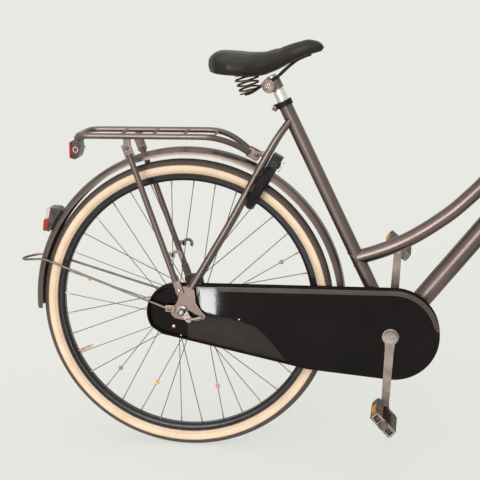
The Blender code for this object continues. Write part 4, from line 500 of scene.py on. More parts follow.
clear_lens = finish_of("clear_lens", (0.58, 0.51, 0.50), 0.20, tone=(0.70, 1.15),
                       tone_scale=130.0, rough_spread=0.04, grain=500.0, height=0.0002,
                       specular=0.3)
orange_lens = finish_of("orange_lens", (0.88, 0.33, 0.02), 0.55, tone=(0.5, 1.1), tone_scale=90.0,
                        rough_spread=0.04, grain=900.0, height=0.0002, specular=0.2)
chain_steel = finish_of("oiled_chain_steel", (0.22, 0.19, 0.17), 0.42, metal=1.0, tone=(0.6, 1.2),
                        tone_scale=120.0)
BEADS = {"salmon": (0.80, 0.32, 0.24), "teal": (0.10, 0.36, 0.38), "yellow": (0.80, 0.52, 0.10),
         "blue": (0.24, 0.36, 0.46)}
bead_finish = {tint: finish_of("bead_" + tint, colour, 0.4, tone=(0.9, 1.1), tone_scale=200.0)
               for tint, colour in BEADS.items()}
print(len(bpy.data.materials), "finishes so far")

# %% [markdown]
# Two finishes need their own pattern: the iron of the saddle springs is spotted with rust,
# and the saddle's skin has a fine pebble grain, which Voronoi cells give. The rubbers only
# need a matt surface and a stronger grain.

# %% Rust, rubber and saddle skin
RUST = [(0.44, (0.040, 0.030, 0.027)), (0.56, (0.17, 0.075, 0.040))]
rusty_iron = worn_finish("rusty_iron", 0.58, 0.45, 0.5, 138.0, 0.07)
tree = rusty_iron.node_tree
coloured(tree, ramp(tree, noise(tree, 130.0, 6.0), RUST))
bumped(tree, noise(tree, 700.0, 2.0), 0.00004)
worn_clamp = finish_of("worn_clamp", (0.20, 0.150, 0.120), 0.44, metal=0.8, tone=(0.6, 1.3),
                       tone_scale=70.0)
rubber = finish_of("pedal_rubber", (0.115, 0.084, 0.067), 0.66, tone=(0.45, 1.4),
                   tone_scale=150.0, rough_spread=0.08, grain=1100.0, height=0.00012,
                   specular=0.35)
pedal_plastic = finish_of("pedal_end_plastic", (0.30, 0.245, 0.215), 0.55, tone=(0.6, 1.2),
                          tone_scale=120.0, specular=0.2)
pedal_dark = finish_of("pedal_dark", (0.026, 0.018, 0.015), 0.8, tone=(0.7, 1.3),
                       tone_scale=80.0, specular=0.06)
grip_rubber = finish_of("grip_rubber", (0.016, 0.015, 0.015), 0.68, tone=(0.75, 1.4),
                        tone_scale=50.0, rough_spread=0.06, grain=1200.0, height=0.00010,
                        specular=0.25)
saddle_skin = worn_finish("saddle_skin", 0.42, 0.0, 0.27, 23.0, 0.04)
tree = saddle_skin.node_tree
toned(tree, (0.0130, 0.0085, 0.0078), (0.80, 1.35), 10.0)
bumped(tree, noise(tree, 620.0, kind="ShaderNodeTexVoronoi"), 0.00004, 0.55)
print(len(bpy.data.materials), "finishes with the iron, the rubbers and the skin")

# %% [markdown]
# ## Tyre rubber
# The sidewall is cream natural rubber, tan where it meets the rim, and the tread is brown
# grey. The colour follows the distance from the axle, so it is read from the piece's own
# coordinates: no image is needed, and the rings stay round as the wheel turns.

# %% Tyre finish
AXLE_HEIGHT, WHEEL_BASE = 0.351, 1.110
AXLE = {"rear": Vector((0.0, 0.0, AXLE_HEIGHT)), "front": Vector((WHEEL_BASE, 0.0, AXLE_HEIGHT))}
CREAM, TAN, TREAD = (0.80, 0.61, 0.44), (0.50, 0.32, 0.20), (0.082, 0.060, 0.048)
RING_START, RING_END = 0.312, 0.352
# The tread darkens towards its edge and is a fifth lighter at its crown: painted shade and a
# painted highlight.
RINGS = [(0.3150, TAN), (0.3180, shaded(TAN, 0.8)), (0.3192, CREAM), (0.3222, CREAM),
         (0.3229, shaded(CREAM, 0.72)), (0.3238, CREAM), (0.3355, CREAM),
         (0.3370, shaded(CREAM, 0.85)), (0.3388, TREAD), (0.3500, shaded(TREAD, 1.20))]
DUST = [(0.30, (0.80, 0.76, 0.70)), (0.62, (1.0, 1.0, 1.0))]
TREAD_EDGE = (0.3395, 0.3405)
LUGS_ROUND, ROW_PITCH = 210.0, 0.0052


def wheel_polar(tree, axle):
    """The distance from the axle, the angle about it, and the place across."""
    place = tree.nodes.new("ShaderNodeTexCoord")
    parts = tree.nodes.new("ShaderNodeSeparateXYZ")
    linked(tree, place.outputs["Object"], parts.inputs["Vector"])
    x = worked_out(tree, "SUBTRACT", parts.outputs["X"], axle.x)
    z = worked_out(tree, "SUBTRACT", parts.outputs["Z"], axle.z)
    squares = worked_out(tree, "ADD", worked_out(tree, "MULTIPLY", x, x),
                         worked_out(tree, "MULTIPLY", z, z))
    return (worked_out(tree, "SQRT", squares), worked_out(tree, "ARCTAN2", z, x),
            parts.outputs["Y"])


def dusted(tree, colour):
    """The colour under a thin layer of chalky dust."""
    node = tree.nodes.new("ShaderNodeMix")
    node.data_type = "RGBA"
    node.blend_type = "MULTIPLY"
    node.inputs["Factor"].default_value = 0.55
    linked(tree, colour, node.inputs[6])
    linked(tree, ramp(tree, noise(tree, 22.0, 6.0), DUST), node.inputs[7])
    return node.outputs[2]


def tyre_finish(name, axle):
    material = worn_finish(name, 0.66, 0.0, 0.35, 32.2, 0.07)
    tree = material.node_tree
    distance, angle, across = wheel_polar(tree, axle)
    reach = spread(tree, distance, 0.0, 1.0, RING_START, RING_END)
    stops = [((metres - RING_START) / (RING_END - RING_START), colour)
             for metres, colour in RINGS]
    coloured(tree, dusted(tree, ramp(tree, reach, stops)))
    lugs = worked_out(tree, "SINE", worked_out(tree, "MULTIPLY", angle, LUGS_ROUND))
    rows = worked_out(tree, "SINE",
                      worked_out(tree, "MULTIPLY", across, 2 * math.pi / ROW_PITCH))
    tread = worked_out(tree, "MULTIPLY", worked_out(tree, "MAXIMUM", lugs, rows),
                       spread(tree, distance, 0.0, 1.0, *TREAD_EDGE))
    fine = worked_out(tree, "MULTIPLY", noise(tree, 900.0, 2.0), 0.25)
    bumped(tree, worked_out(tree, "ADD", tread, fine), 0.0007, 0.8)
    return material


tyre_rubber = {place: tyre_finish(place + "_tyre_rubber", axle) for place, axle in AXLE.items()}
print("tyre rings from", RING_START, "to", RING_END, "m")

# %% [markdown]
# ## Wheels
# A real wheel is a box-section rim, a tyre that bulges beyond it, and 36 steel spokes laced
# to the hub's flanges, each screwed into a brass nipple. Tyre, rim and hub are turned; one
# spoke of each of the four sets is made, then copied nine times round the axle.

# %% Tyres and rims
WHEEL_STEPS = 128
TYRE_OUT = [(0.3512, 0.0022), (0.3509, 0.0068), (0.3492, 0.0110), (0.3462, 0.0148),
            (0.3418, 0.0178), (0.3360, 0.0193), (0.3300, 0.0194), (0.3246, 0.0176),
            (0.3206, 0.0142), (0.3180, 0.0112), (0.3140, 0.0104), (0.3126, 0.0090)]
TYRE_IN = [(0.3132, 0.0074), (0.3200, 0.0100), (0.3290, 0.0160), (0.3400, 0.0140),
           (0.3478, 0.0060)]
RIM_HALF = [(0.3005, 0.0001), (0.3005, 0.0070), (0.3022, 0.0098), (0.3060, 0.0120),
            (0.3100, 0.0126), (0.3150, 0.0126), (0.3166, 0.0129), (0.3174, 0.0122),
            (0.3168, 0.0113), (0.3110, 0.0107), (0.3060, 0.0070), (0.3060, 0.0001)]
for place, axle in AXLE.items():
    inside = TYRE_IN + [(r, -y) for r, y in reversed(TYRE_IN)]
    tyre = turned(there_and_back(TYRE_OUT[::-1]) + inside, axle, LEFT, WHEEL_STEPS)
    fitted(tyre, place + "_tyre_body", tyre_rubber[place], place + "_tyre", True, 60.0)
    rim = turned(there_and_back(RIM_HALF), axle, LEFT, WHEEL_STEPS)
    fitted(rim, place + "_rim_hoop", rim_black, place + "_rim", True, 30.0)
print("tyres and rims are", WHEEL_STEPS, "steps round")


# %% Spokes and nipples
SPOKES, SETS = 36, 4
SPOKE_PHASE, SPOKE_LEAN = 56.7, 70.0
SPOKE_RADIUS, SPOKE_SHIFT, ELBOW, HEAD = 0.0010, 0.0013, 0.0030, 0.0012
RIM_INNER, RIM_OFFSET, RIM_SHIFT = 0.3005, 0.0032, 0.0016
SEAT_DEPTH, NIPPLE_LENGTH = 0.0035, 0.012
FLANGE = {"rear": (0.033, -0.026, 0.030), "front": (0.020, -0.033, 0.033)}
NIPPLE = [(0, 0), (0.0017, 0), (0.0017, 0.0100), (0.0021, 0.0106), (0.0021, 0.0122),
          (0, 0.0122)]


def one_spoke(axle, flange, across, angle, lean, side, face):
    """A spoke with its elbow in the flange, and its nipple in the rim."""
    foot = around(axle, flange - SEAT_DEPTH, angle + lean * SPOKE_LEAN,
                  across + SPOKE_SHIFT * face)
    tip = around(axle, RIM_INNER - 0.0005, angle, side * RIM_OFFSET + RIM_SHIFT * face)
    along = (tip - foot).normalized()
    head = foot - LEFT * face * (ELBOW + HEAD)
    wire = tube(bent([head, foot, foot + along * 0.006, tip], 0.002, 3), SPOKE_RADIUS, 8)
    return wire, turned(NIPPLE, tip - along * NIPPLE_LENGTH, along, 8)


for place, axle in AXLE.items():
    flange, right, left = FLANGE[place]
    wires, nipples = [], []
    for number, (side, lean, face) in enumerate([(-1, 1, -1), (1, -1, -1), (-1, -1, 1),
                                                 (1, 1, 1)]):
        wire, nipple = one_spoke(axle, flange, right if side < 0 else left,
                                 SPOKE_PHASE + number * 360.0 / SPOKES, lean, side, face)
        for turn in range(SPOKES // SETS):
            angle = math.radians(-360.0 * SETS / SPOKES * turn)
            spin = (Matrix.Translation(axle) @ Matrix.Rotation(angle, 4, LEFT)
                    @ Matrix.Translation(-axle))
            wires.append(copied(wire, spin))
            nipples.append(copied(nipple, spin))
        bpy.data.objects.remove(wire)
        bpy.data.objects.remove(nipple)
    fitted(joined(wires), place + "_spokes", spoke_steel, place + "_hub")
    fitted(joined(nipples), place + "_nipples", nipple_brass, place + "_hub")
print(SPOKES, "spokes in each wheel")

# %% Hubs, with the brake drum side of the coaster hub
REAR_HUB = [(0.0055, -0.0290), (0.0318, -0.0286), (0.0330, -0.0278), (0.0330, -0.0242),
            (0.0316, -0.0234), (0.0240, -0.0225), (0.0212, -0.0170), (0.0196, -0.0080),
            (0.0192, 0.0060), (0.0200, 0.0180), (0.0225, 0.0260), (0.0318, 0.0274),
            (0.0330, 0.0282), (0.0330, 0.0318), (0.0316, 0.0328), (0.0240, 0.0338),
            (0.0228, 0.0380), (0.0226, 0.0480), (0.0215, 0.0500), (0.0055, 0.0500)]
FRONT_HUB = [(0.0050, -0.0430), (0.0118, -0.0430), (0.0125, -0.0420), (0.0128, -0.0365),
             (0.0190, -0.0355), (0.0200, -0.0345), (0.0200, -0.0318), (0.0190, -0.0306),
             (0.0150, -0.0290), (0.0126, -0.0180), (0.0118, 0.0)]
rear_hub = turned(REAR_HUB, AXLE["rear"], LEFT, 48)
fitted(rear_hub, "rear_hub_shell", steel, "rear_hub", True, 30.0)
front = FRONT_HUB + [(r, -y) for r, y in reversed(FRONT_HUB[:-1])]
fitted(turned(front, AXLE["front"], LEFT, 48), "front_hub_shell", steel, "front_hub", True, 30.0)

# %% [markdown]
# The tyre valve comes through the rim. Small coloured beads are clipped on some of the rear
# spokes, as children like them: each is a turned ball with a hole for its spoke.

# %% Valves and spoke beads
VALVE_ANGLE, VALVE_FOOT = {"rear": 205.5, "front": 229.0}, 0.262
for place, axle in AXLE.items():
    outward = around(ORIGIN, 1.0, VALVE_ANGLE[place], 0.0).normalized()
    foot = axle + outward * VALVE_FOOT
    valve = turned([(0, 0), (0.0022, 0.0002), (0.0028, 0.0015), (0.0028, 0.0110),
                    (0.0024, 0.0125), (0.0030, 0.0130), (0.0030, 0.0400), (0, 0.0400)],
                   foot, outward, 20)
    fitted(valve, place + "_valve", copper, place + "_rim")
BEAD = [(0.0011, -0.0046), (0.0036, -0.0041), (0.0052, -0.0023), (0.0057, 0.0),
        (0.0052, 0.0023), (0.0036, 0.0041), (0.0011, 0.0046)]
BEAD_PLACES = [("salmon", 110.0, 1, 0.818), ("teal", 170.0, -1, 0.797),
               ("yellow", 190.0, 1, 0.722), ("salmon", 230.0, 1, 0.723),
               ("blue", 330.0, -1, 0.826)]
for number, (tint, angle, lean, share) in enumerate(BEAD_PLACES, 1):
    foot = around(AXLE["rear"], 0.030, SPOKE_PHASE + angle + lean * SPOKE_LEAN, 0.030)
    tip = around(AXLE["rear"], 0.300, SPOKE_PHASE + angle, 0.0035)
    ball = turned(BEAD, foot.lerp(tip, share), tip - foot, 20)
    fitted(ball, "spoke_bead_%d" % number, bead_finish[tint], "rear_hub", smooth=60.0)

# %% [markdown]
# ## Frame
# A step-through frame is brazed from steel tubes: a seat tube, a stout down tube, a top tube
# that swoops low so that the rider can step through, and pairs of thin stays that hold the
# rear wheel. Each tube is one piece, with a bead of brass filler where it meets the next.

# %% Frame lines
BRACKET = Vector((0.4877, 0.0, 0.3075))
SEAT_UP = Vector((-0.43837, 0.0, 0.89879))
HEAD_UP = Vector((-0.39073, 0.0, 0.92050))
HEAD_FORWARD = Vector((0.92050, 0.0, 0.39073))
HEAD_FOOT = Vector((1.05017, 0.0, 0.32560))
SEAT_RADIUS, DOWN_RADIUS, TOP_RADIUS, HEAD_RADIUS = 0.0160, 0.0233, 0.0173, 0.0185
DOWN_FOOT = Vector((0.4967, 0.0, 0.3075))
DOWN_UP = Vector((0.6198, 0.0, 0.7848))
TOP_PATH = [(0.4060, 0, 0.4770), (0.4560, 0, 0.4930), (0.5060, 0, 0.5145), (0.5560, 0, 0.5435),
            (0.6210, 0, 0.5905), (0.6860, 0, 0.6535), (0.7550, 0, 0.7430), (0.8276, 0, 0.8500)]


def seat_line(distance):
    return BRACKET + SEAT_UP * distance


def head_line(distance):
    return HEAD_FOOT + HEAD_UP * distance


print("seat tube top:", seat_line(0.593))

# %% Main tubes
seat_tube = rod(seat_line(0.010), seat_line(0.593), SEAT_RADIUS, 40)
fitted(seat_tube, "frame_seat_tube", taupe_paint, "frame", True)
down_end = DOWN_FOOT + DOWN_UP * 0.580
fitted(rod(DOWN_FOOT, down_end, DOWN_RADIUS, 40), "frame_down_tube", taupe_paint, "frame")
fitted(tube(bent(TOP_PATH, 0.03), TOP_RADIUS, 36), "frame_top_tube", taupe_paint, "frame")
HEAD_SECTION = [(0.0145, 0.4235), (0.0200, 0.4235), (0.0204, 0.4250), (0.0204, 0.4320),
                (0.0185, 0.4345), (0.0185, 0.6025), (0.0204, 0.6050), (0.0204, 0.6120),
                (0.0200, 0.6135), (0.0145, 0.6135)]
fitted(turned(HEAD_SECTION, HEAD_FOOT, HEAD_UP, 40), "frame_head_tube", taupe_paint, "frame")
SHELL_SECTION = there_and_back([(0.0170, 0.0340), (0.0200, 0.0340), (0.0206, 0.0330),
                                (0.0206, 0.0290), (0.0202, 0.0275)])
fitted(turned(SHELL_SECTION, BRACKET, LEFT, 40), "frame_bracket_shell", taupe_paint, "frame")

# %% Filler beads where the tubes meet
top_low, top_next = Vector(TOP_PATH[0]), Vector(TOP_PATH[1])
top_before, top_high = Vector(TOP_PATH[-2]), Vector(TOP_PATH[-1])
on_down = DOWN_FOOT + DOWN_UP * 0.45
filler = [filler_bead(BRACKET, SEAT_UP, SEAT_RADIUS, top_next, top_low - top_next, TOP_RADIUS),
          filler_bead(HEAD_FOOT, HEAD_UP, HEAD_RADIUS, top_before, top_high - top_before,
                      TOP_RADIUS),
          filler_bead(HEAD_FOOT, HEAD_UP, HEAD_RADIUS, on_down, DOWN_UP, DOWN_RADIUS - 0.005)]
fitted(joined(filler), "frame_filler_beads", taupe_paint, "frame")

# %% Stays, each pair one piece
CHAIN_STAY = [(0.4700, 0.0240, 0.3085), (0.4000, 0.0285, 0.3170), (0.0520, 0.0525, 0.3465)]
SEAT_STAY = [(0.0200, 0.0625, 0.4050), (0.1075, 0.0480, 0.5555), (0.1460, 0.0405, 0.6290),
             (0.1860, 0.0375, 0.7040), (0.2150, 0.0300, 0.7560), (0.2440, 0.0120, 0.7960)]
chain_stays = both_sides(tube(bent(CHAIN_STAY, 0.05), 0.0085, 24))
fitted(chain_stays, "frame_chain_stays", taupe_paint, "frame")
seat_stays = both_sides(tube(bent(SEAT_STAY, 0.03), 0.0080, 24))
fitted(seat_stays, "frame_seat_stays", taupe_paint, "frame")

# %% Bridge, kickstand plate and carrier tab
GUARD_CENTRE, GUARD_RADIUS = Vector((0.006, 0.0, 0.356)), 0.375
bridge = Vector((0.1903, 0.0, 0.7120))
bridge_tube = rod(bridge - LEFT * 0.0370, bridge + LEFT * 0.0370, 0.0070, 24)
guard_way = (GUARD_CENTRE - bridge).normalized()
guard_bolt = rod(bridge, GUARD_CENTRE - guard_way * (GUARD_RADIUS + 0.0005), 0.0050, 16)
stand_plate = block((0.040, 0.056, 0.0060), (0.420, 0.0, 0.3055), 0.0012)
stand_block = block((0.026, 0.024, 0.0345), (0.420, 0.0, 0.2872), 0.0030)
carrier_tab = block((0.044, 0.020, 0.0110), (0.1700, 0.0, 0.7165), 0.0015)
fitted(joined([bridge_tube, guard_bolt, stand_plate, stand_block, carrier_tab]),
       "frame_bridge_and_stand_plate", taupe_paint, "frame")

# %% [markdown]
# ## Drop-outs
# The rear axle sits in a slot in each thick steel plate that ends the stays. The slot opens
# backwards and downwards, so that the wheel can be drawn back to tighten the chain. The
# plate is an outline with the slot in it, extruded to its thickness.

# %% Drop-outs
DROPOUT = [(-0.016, 0.366), (-0.028, 0.355), (-0.029, 0.341), (-0.019, 0.331),
           (0.004, 0.3275), (0.034, 0.3265), (0.052, 0.3310), (0.055, 0.3400),
           (0.046, 0.3480), (0.031, 0.3700), (0.0295, 0.3900), (0.026, 0.4140),
           (0.002, 0.4110), (-0.017, 0.4080), (-0.018, 0.3940), (-0.009, 0.3820)]
SLOT = [(-0.0054, 0.3470), (-0.0054, 0.3550), (-0.003, 0.3565), (0.006, 0.3565),
        (0.036, 0.3400), (0.0480, 0.3352), (0.0440, 0.3300), (0.030, 0.3300),
        (0.004, 0.3455), (-0.003, 0.3455)]
dropout = plate(flat_loop(DROPOUT), 0.0600, 0.0650, [SLOT], bevel=0.0006)
fitted(both_sides(dropout), "frame_dropouts", taupe_paint, "frame")

# %% [markdown]
# ## Bearing cups, seat post and clamp
# Bearing cups are turned rings. The post is pale metal; the clamp is a black collar that a
# bolt squeezes round the split end of the seat tube.

# %% Bracket cups and headset
cups = both_sides(turned([(0.0125, 0.0340), (0.0195, 0.0343), (0.0198, 0.0352),
                          (0.0192, 0.0368), (0.0150, 0.0368), (0.0142, 0.0360),
                          (0.0125, 0.0360)], BRACKET, LEFT, 40))
fitted(cups, "bracket_cups", steel, "bottom_bracket", True)
lower_cup = turned([(0.0135, 0.4232), (0.0215, 0.4232), (0.0225, 0.4215), (0.0225, 0.4150),
                    (0.0210, 0.4125), (0.0215, 0.4110), (0.0205, 0.4103), (0.0135, 0.4103)],
                   HEAD_FOOT, HEAD_UP, 40)
fitted(lower_cup, "headset_lower_cup", steel, "headset_lower", True, 30.0)
upper_cup = turned([(0.0135, 0.6138), (0.0215, 0.6138), (0.0225, 0.6155), (0.0225, 0.6210),
                    (0.0212, 0.6235), (0.0205, 0.6262), (0.0195, 0.6266), (0.0195, 0.6294),
                    (0.0188, 0.6297), (0.0135, 0.6297)], HEAD_FOOT, HEAD_UP, 40)
fitted(upper_cup, "headset_upper_cup", steel, "headset_upper", True, 30.0)

# %% Seat post and clamps
POST_SECTION = [(0, 0.3900), (0.0135, 0.3900), (0.0135, 0.6165), (0.0128, 0.6205),
                (0.0112, 0.6215), (0.0110, 0.6230), (0.0110, 0.6572), (0.0104, 0.6580),
                (0, 0.6580)]
fitted(turned(POST_SECTION, BRACKET, SEAT_UP, 40), "seat_post_turned", post_metal, "seat_post",
       True, 30.0)
dressed("seat_clamp", black_paint, 0.0010)
SEAT_BACK = Vector((-SEAT_UP.z, 0.0, SEAT_UP.x))
lug = seat_line(0.5868) + SEAT_BACK * 0.0235
heads = [bolt(lug + LEFT * side * 0.0120, LEFT * side, 0.0056, 0.0052) for side in SIDES.values()]
fitted(joined(heads), "seat_clamp_bolt_ends", copper, "seat_clamp")
dressed("saddle_clamp", worn_clamp, 0.0008)
drum = Vector((0.197, 0.0, 0.877))
caps = both_sides(turned([(0, 0.0326), (0.0040, 0.0326), (0.0046, 0.0334), (0.0100, 0.0334),
                          (0.0104, 0.0329), (0.0150, 0.0329), (0.0154, 0.0326),
                          (0.0150, 0.0322), (0, 0.0322)], drum, LEFT, 32))
fitted(caps, "saddle_clamp_caps", worn_clamp, "saddle_clamp")
grooves = both_sides(turned([(0.0112, 0.0328), (0.0138, 0.0328), (0.0138, 0.0340),
                             (0.0132, 0.0344), (0.0118, 0.0344), (0.0112, 0.0340)],
                            drum, LEFT, 32))
fitted(grooves, "saddle_clamp_teeth_rings", dark_ring, "saddle_clamp")
ends = [bolt(drum + LEFT * side * 0.0330, LEFT * side, 0.0062, 0.0042, True)
        for side in SIDES.values()]
fitted(joined(ends), "saddle_clamp_nuts", steel, "saddle_clamp")

# %% [markdown]
# ## Saddle
# A city saddle is a padded skin on a plastic shell, carried by steel rails on two coil
# springs at the back. The pad is swollen by a short cloth simulation, as air fills a ball,
# and its skirt stays where the shell holds it.

# %% Rails and springs
RAIL = [(0.1460, -0.0520, 0.8595), (0.1590, -0.0445, 0.8625), (0.1730, -0.0275, 0.8720),
        (0.1800, -0.0245, 0.8775), (0.1970, -0.0245, 0.8860), (0.2150, -0.0245, 0.8960),
        (0.2360, -0.0225, 0.9170), (0.2620, -0.0185, 0.9375), (0.2840, -0.0110, 0.9465),
        (0.2900, 0.0, 0.9475)]
SPRING_FOOT, SPRING_TILT = Vector((0.150, 0.052, 0.8640)), math.radians(12.0)
SPRING_UP = Vector((-math.sin(SPRING_TILT), 0.0, math.cos(SPRING_TILT)))
SPRING_PLATE = [(0, -0.0024), (0.0158, -0.0024), (0.0165, -0.0018), (0.0165, -0.0004),
                (0.0160, -0.0002), (0, -0.0002)]
rails = [tube(bent(RAIL + mirrored(RAIL[:-1]), 0.012), 0.0035, 16)]
for side in SIDES.values():
    foot = Vector((SPRING_FOOT.x, side * SPRING_FOOT.y, SPRING_FOOT.z))
    rails.append(turned(SPRING_PLATE, foot, SPRING_UP, 32))
fitted(joined(rails), "saddle_rails_bent", black_paint, "saddle_rails", True)

# %% Saddle springs
TURNS, STEPS_A_TURN, SPRING_HEIGHT = 3, 20, 0.0345
NARROW, WIDE, SPRING_WIRE = 0.0145, 0.0205, 0.0023
AHEAD = Vector((SPRING_UP.z, 0.0, -SPRING_UP.x))
for place, side in SIDES.items():
    foot = Vector((SPRING_FOOT.x, side * SPRING_FOOT.y, SPRING_FOOT.z)) + SPRING_UP * 0.0019
    sideways = SPRING_UP.cross(AHEAD) * side
    coil = []
    for step in range(TURNS * STEPS_A_TURN + 1):
        turn = 2 * math.pi * step / STEPS_A_TURN
        share = step / (TURNS * STEPS_A_TURN)
        out = AHEAD * math.cos(turn) + sideways * math.sin(turn)
        coil.append(foot + SPRING_UP * SPRING_HEIGHT * share
                    + out * (NARROW + (WIDE - NARROW) * share))
    spring = tube(coil, SPRING_WIRE, 12)
    fitted(spring, "saddle_spring_coil_" + place, rusty_iron, "saddle_spring_" + place, True)

# %% The form of the saddle pad
BACK_EDGE, BACK_REACH, UPPER_EDGE, UPPER_REACH = 0.108, 0.038, 0.916, 0.024
FULLER = Vector((-0.0035, 0.0, 0.0055))


def eased(value):
    """From 0 to 1, with a soft start and a soft end."""
    value = min(1.0, max(0.0, value))
    return value * value * (3.0 - 2.0 * value)


pad = cleaned(bare_copy("saddle_cover"), SOLID_WELD)
modified(pad, "REMESH", mode="VOXEL", voxel_size=0.0040, use_smooth_shade=True)
modified(pad, "SMOOTH", factor=0.5, iterations=4)
for vertex in pad.data.vertices:
    vertex.co += (FULLER * eased((BACK_EDGE - vertex.co.x) / BACK_REACH)
                  * eased((vertex.co.z - UPPER_EDGE) / UPPER_REACH))
print("saddle pad before it is swollen:", len(pad.data.vertices), "points")

# %% The swollen saddle pad
SKIRT, RISE_START, RISE = 0.9120, 0.20, 0.42
MOST, FRAMES = 0.0035, 20


def skirt_line(x):
    """The height below which the shell holds the pad: it rises towards the nose."""
    return SKIRT + max(0.0, x - RISE_START) * RISE


rest = [vertex.co.copy() for vertex in pad.data.vertices]
held = pad.vertex_groups.new(name="held")
for vertex in pad.data.vertices:
    if vertex.co.z < skirt_line(vertex.co.x):
        held.add([vertex.index], 1.0, "ADD")
only(pad)
cloth = pad.modifiers.new("Cloth", "CLOTH")
cloth.settings.use_pressure = True
cloth.settings.uniform_pressure_force = 2.0
cloth.settings.effector_weights.gravity = 0.0
cloth.settings.vertex_group_mass = "held"
cloth.settings.tension_stiffness = 40.0
cloth.settings.quality = 6
for number in range(1, FRAMES + 1):
    scene.frame_set(number)
bpy.ops.object.modifier_apply(modifier=cloth.name)
pad.vertex_groups.clear()
for vertex, start in zip(pad.data.vertices, rest):
    move = vertex.co - start
    if move.length > MOST:
        vertex.co = start + move * (MOST / move.length)
modified(pad, "SMOOTH", factor=0.5, iterations=7)
modified(pad, "SUBSURF", levels=1, render_levels=1)
fitted(pad, "saddle_pad", saddle_skin, "saddle_cover", True, 180.0)
print("the pad moved by", MOST, "m at most")

# %% The shell's rim under the saddle pad
RIM = [(0.0660, -0.0480, 0.9118), (0.0820, -0.0765, 0.9088), (0.1120, -0.0880, 0.9066),
       (0.1500, -0.0825, 0.9048), (0.1860, -0.0620, 0.9048), (0.2180, -0.0415, 0.9166),
       (0.2500, -0.0285, 0.9344), (0.2840, -0.0235, 0.9492), (0.3060, -0.0170, 0.9556)]
NOSE, TAIL = (0.3165, 0.0, 0.9580), (0.0600, 0.0, 0.9125)
path = bent([*RIM, NOSE, *mirrored(RIM), TAIL, RIM[0]], 0.012)
shell_rim = tube(path[:-1], 0.0022, 12, closed=True)
fitted(shell_rim, "saddle_shell_rim", black_plastic, "saddle_cover")

# %% [markdown]
# ## Mudguards
# A mudguard is a strip of steel rolled to a rounded channel. One section, an outer curve and
# an inner one a wall's thickness inside it, is spun about a point near the axle, and its two
# open ends are closed.

# %% Mudguards
GUARD_WALL = 0.0014
GUARD_CURVE = [(-0.0170, 0.0265), (-0.0110, 0.0254), (-0.0055, 0.0222), (-0.0022, 0.0165),
               (-0.0006, 0.0085), (0.0, 0.0)]


def guard_section():
    """The channel's outer curve, and the inner one a wall's thickness inside it."""
    outer = [(GUARD_RADIUS + r, -y) for r, y in GUARD_CURVE]
    outer += [(r, -y) for r, y in reversed(outer[:-1])]
    edge_r, edge_y = outer[-1]
    inner = [(r - GUARD_WALL, y * 0.955) for r, y in outer[1:-1]]
    inner = [(edge_r, 0.0012 - edge_y)] + inner + [(edge_r, edge_y - 0.0012)]
    return outer + inner[::-1]


def guard(centre, first, last, steps):
    """Spun from one angle to another, anticlockwise as seen from the right."""
    return turned(guard_section(), centre, LEFT, steps, around(ORIGIN, 1.0, first, 0.0),
                  last - first)


rear_guard = guard(GUARD_CENTRE, 8.0, 183.6, 96)
fitted(rear_guard, "rear_mudguard_rolled", taupe_paint, "rear_mudguard", True, 50.0)
front_guard = guard(AXLE["front"], 55.0, 205.0, 84)
fitted(front_guard, "front_mudguard_rolled", taupe_paint, "front_mudguard", True, 50.0)

# %% Wire stays that hold the mudguards
WIRE = [(-0.0370, -0.0683, 0.3555), (-0.3450, -0.0300, 0.4570), (-0.3730, -0.0300, 0.4550),
        (-0.3920, -0.0220, 0.4520), (-0.4020, -0.0100, 0.4507), (-0.4040, 0.0, 0.4505)]
stay = [tube(bent(WIRE + mirrored(WIRE[:-1]), 0.012), 0.0028, 16)]
for side in SIDES.values():
    stay.append(block((0.0230, 0.0045, 0.0165), (-0.0295, side * 0.0678, 0.3550), 0.0010))
    stay.append(bolt(Vector((-0.0300, side * 0.0700, 0.3550)), LEFT * side, 0.0050, 0.0032))
fitted(joined(stay), "rear_mudguard_wire", brown_wire, "rear_mudguard_stay", True)
CLIP_ANGLE = 105.2
guard_clip = block((0.0100, 0.0470, 0.0110),
                   around(GUARD_CENTRE, GUARD_RADIUS - 0.0085, CLIP_ANGLE, 0.0), 0.0020,
                   Matrix.Rotation(math.radians(90.0 - CLIP_ANGLE), 4, "Y"))
fitted(guard_clip, "rear_mudguard_clip", black_plastic, "rear_mudguard")
dressed("front_mudguard_stay", brown_wire, 0.0003, angle=60.0)

# %% [markdown]
# ## Carrier
# The carrier is a loop of steel tube with four rods across, on two tubular legs that end at
# the drop-outs. The legs' ends are flattened and screwed on, and each leg has an open eye
# for the luggage strap.

# %% Carrier deck
DECK = [(0.1500, -0.0180, 0.7220), (0.1330, -0.0275, 0.7345), (0.1060, -0.0470, 0.7500),
        (0.0760, -0.0610, 0.7600), (0.0500, -0.0650, 0.7625), (-0.2270, -0.0650, 0.7600),
        (-0.2420, -0.0605, 0.7590), (-0.2480, -0.0450, 0.7580), (-0.2490, -0.0250, 0.7575)]
DECK_LEVEL, DECK_DROP = DECK[4][2], (DECK[4][2] - DECK[5][2]) / 0.268
ROD_FIRST, ROD_PITCH, RODS = -0.1540, 0.0742, 4
ROD_CAP = [(0, -0.0020), (0.0052, -0.0020), (0.0046, 0.0012), (0, 0.0012)]
LEG_TOP, LEG_FOOT = Vector((-0.1270, 0.0, 0.7345)), Vector((-0.0075, 0.0, 0.3995))
TAB_TURN = Matrix.Rotation(math.radians(27.0), 4, "Y")
deck = [tube(bent(DECK + mirrored(DECK), 0.018), 0.0069, 24)]
for number in range(RODS):
    x = ROD_FIRST + ROD_PITCH * number
    height = DECK_LEVEL - (0.050 - x) * DECK_DROP + 0.0004
    deck.append(rod((x, -0.0650, height - 0.0030), (x, 0.0650, height - 0.0030), 0.0028, 16))
    for side in SIDES.values():
        deck.append(turned(ROD_CAP, (x, side * 0.0590, height), LEFT * side, 16))
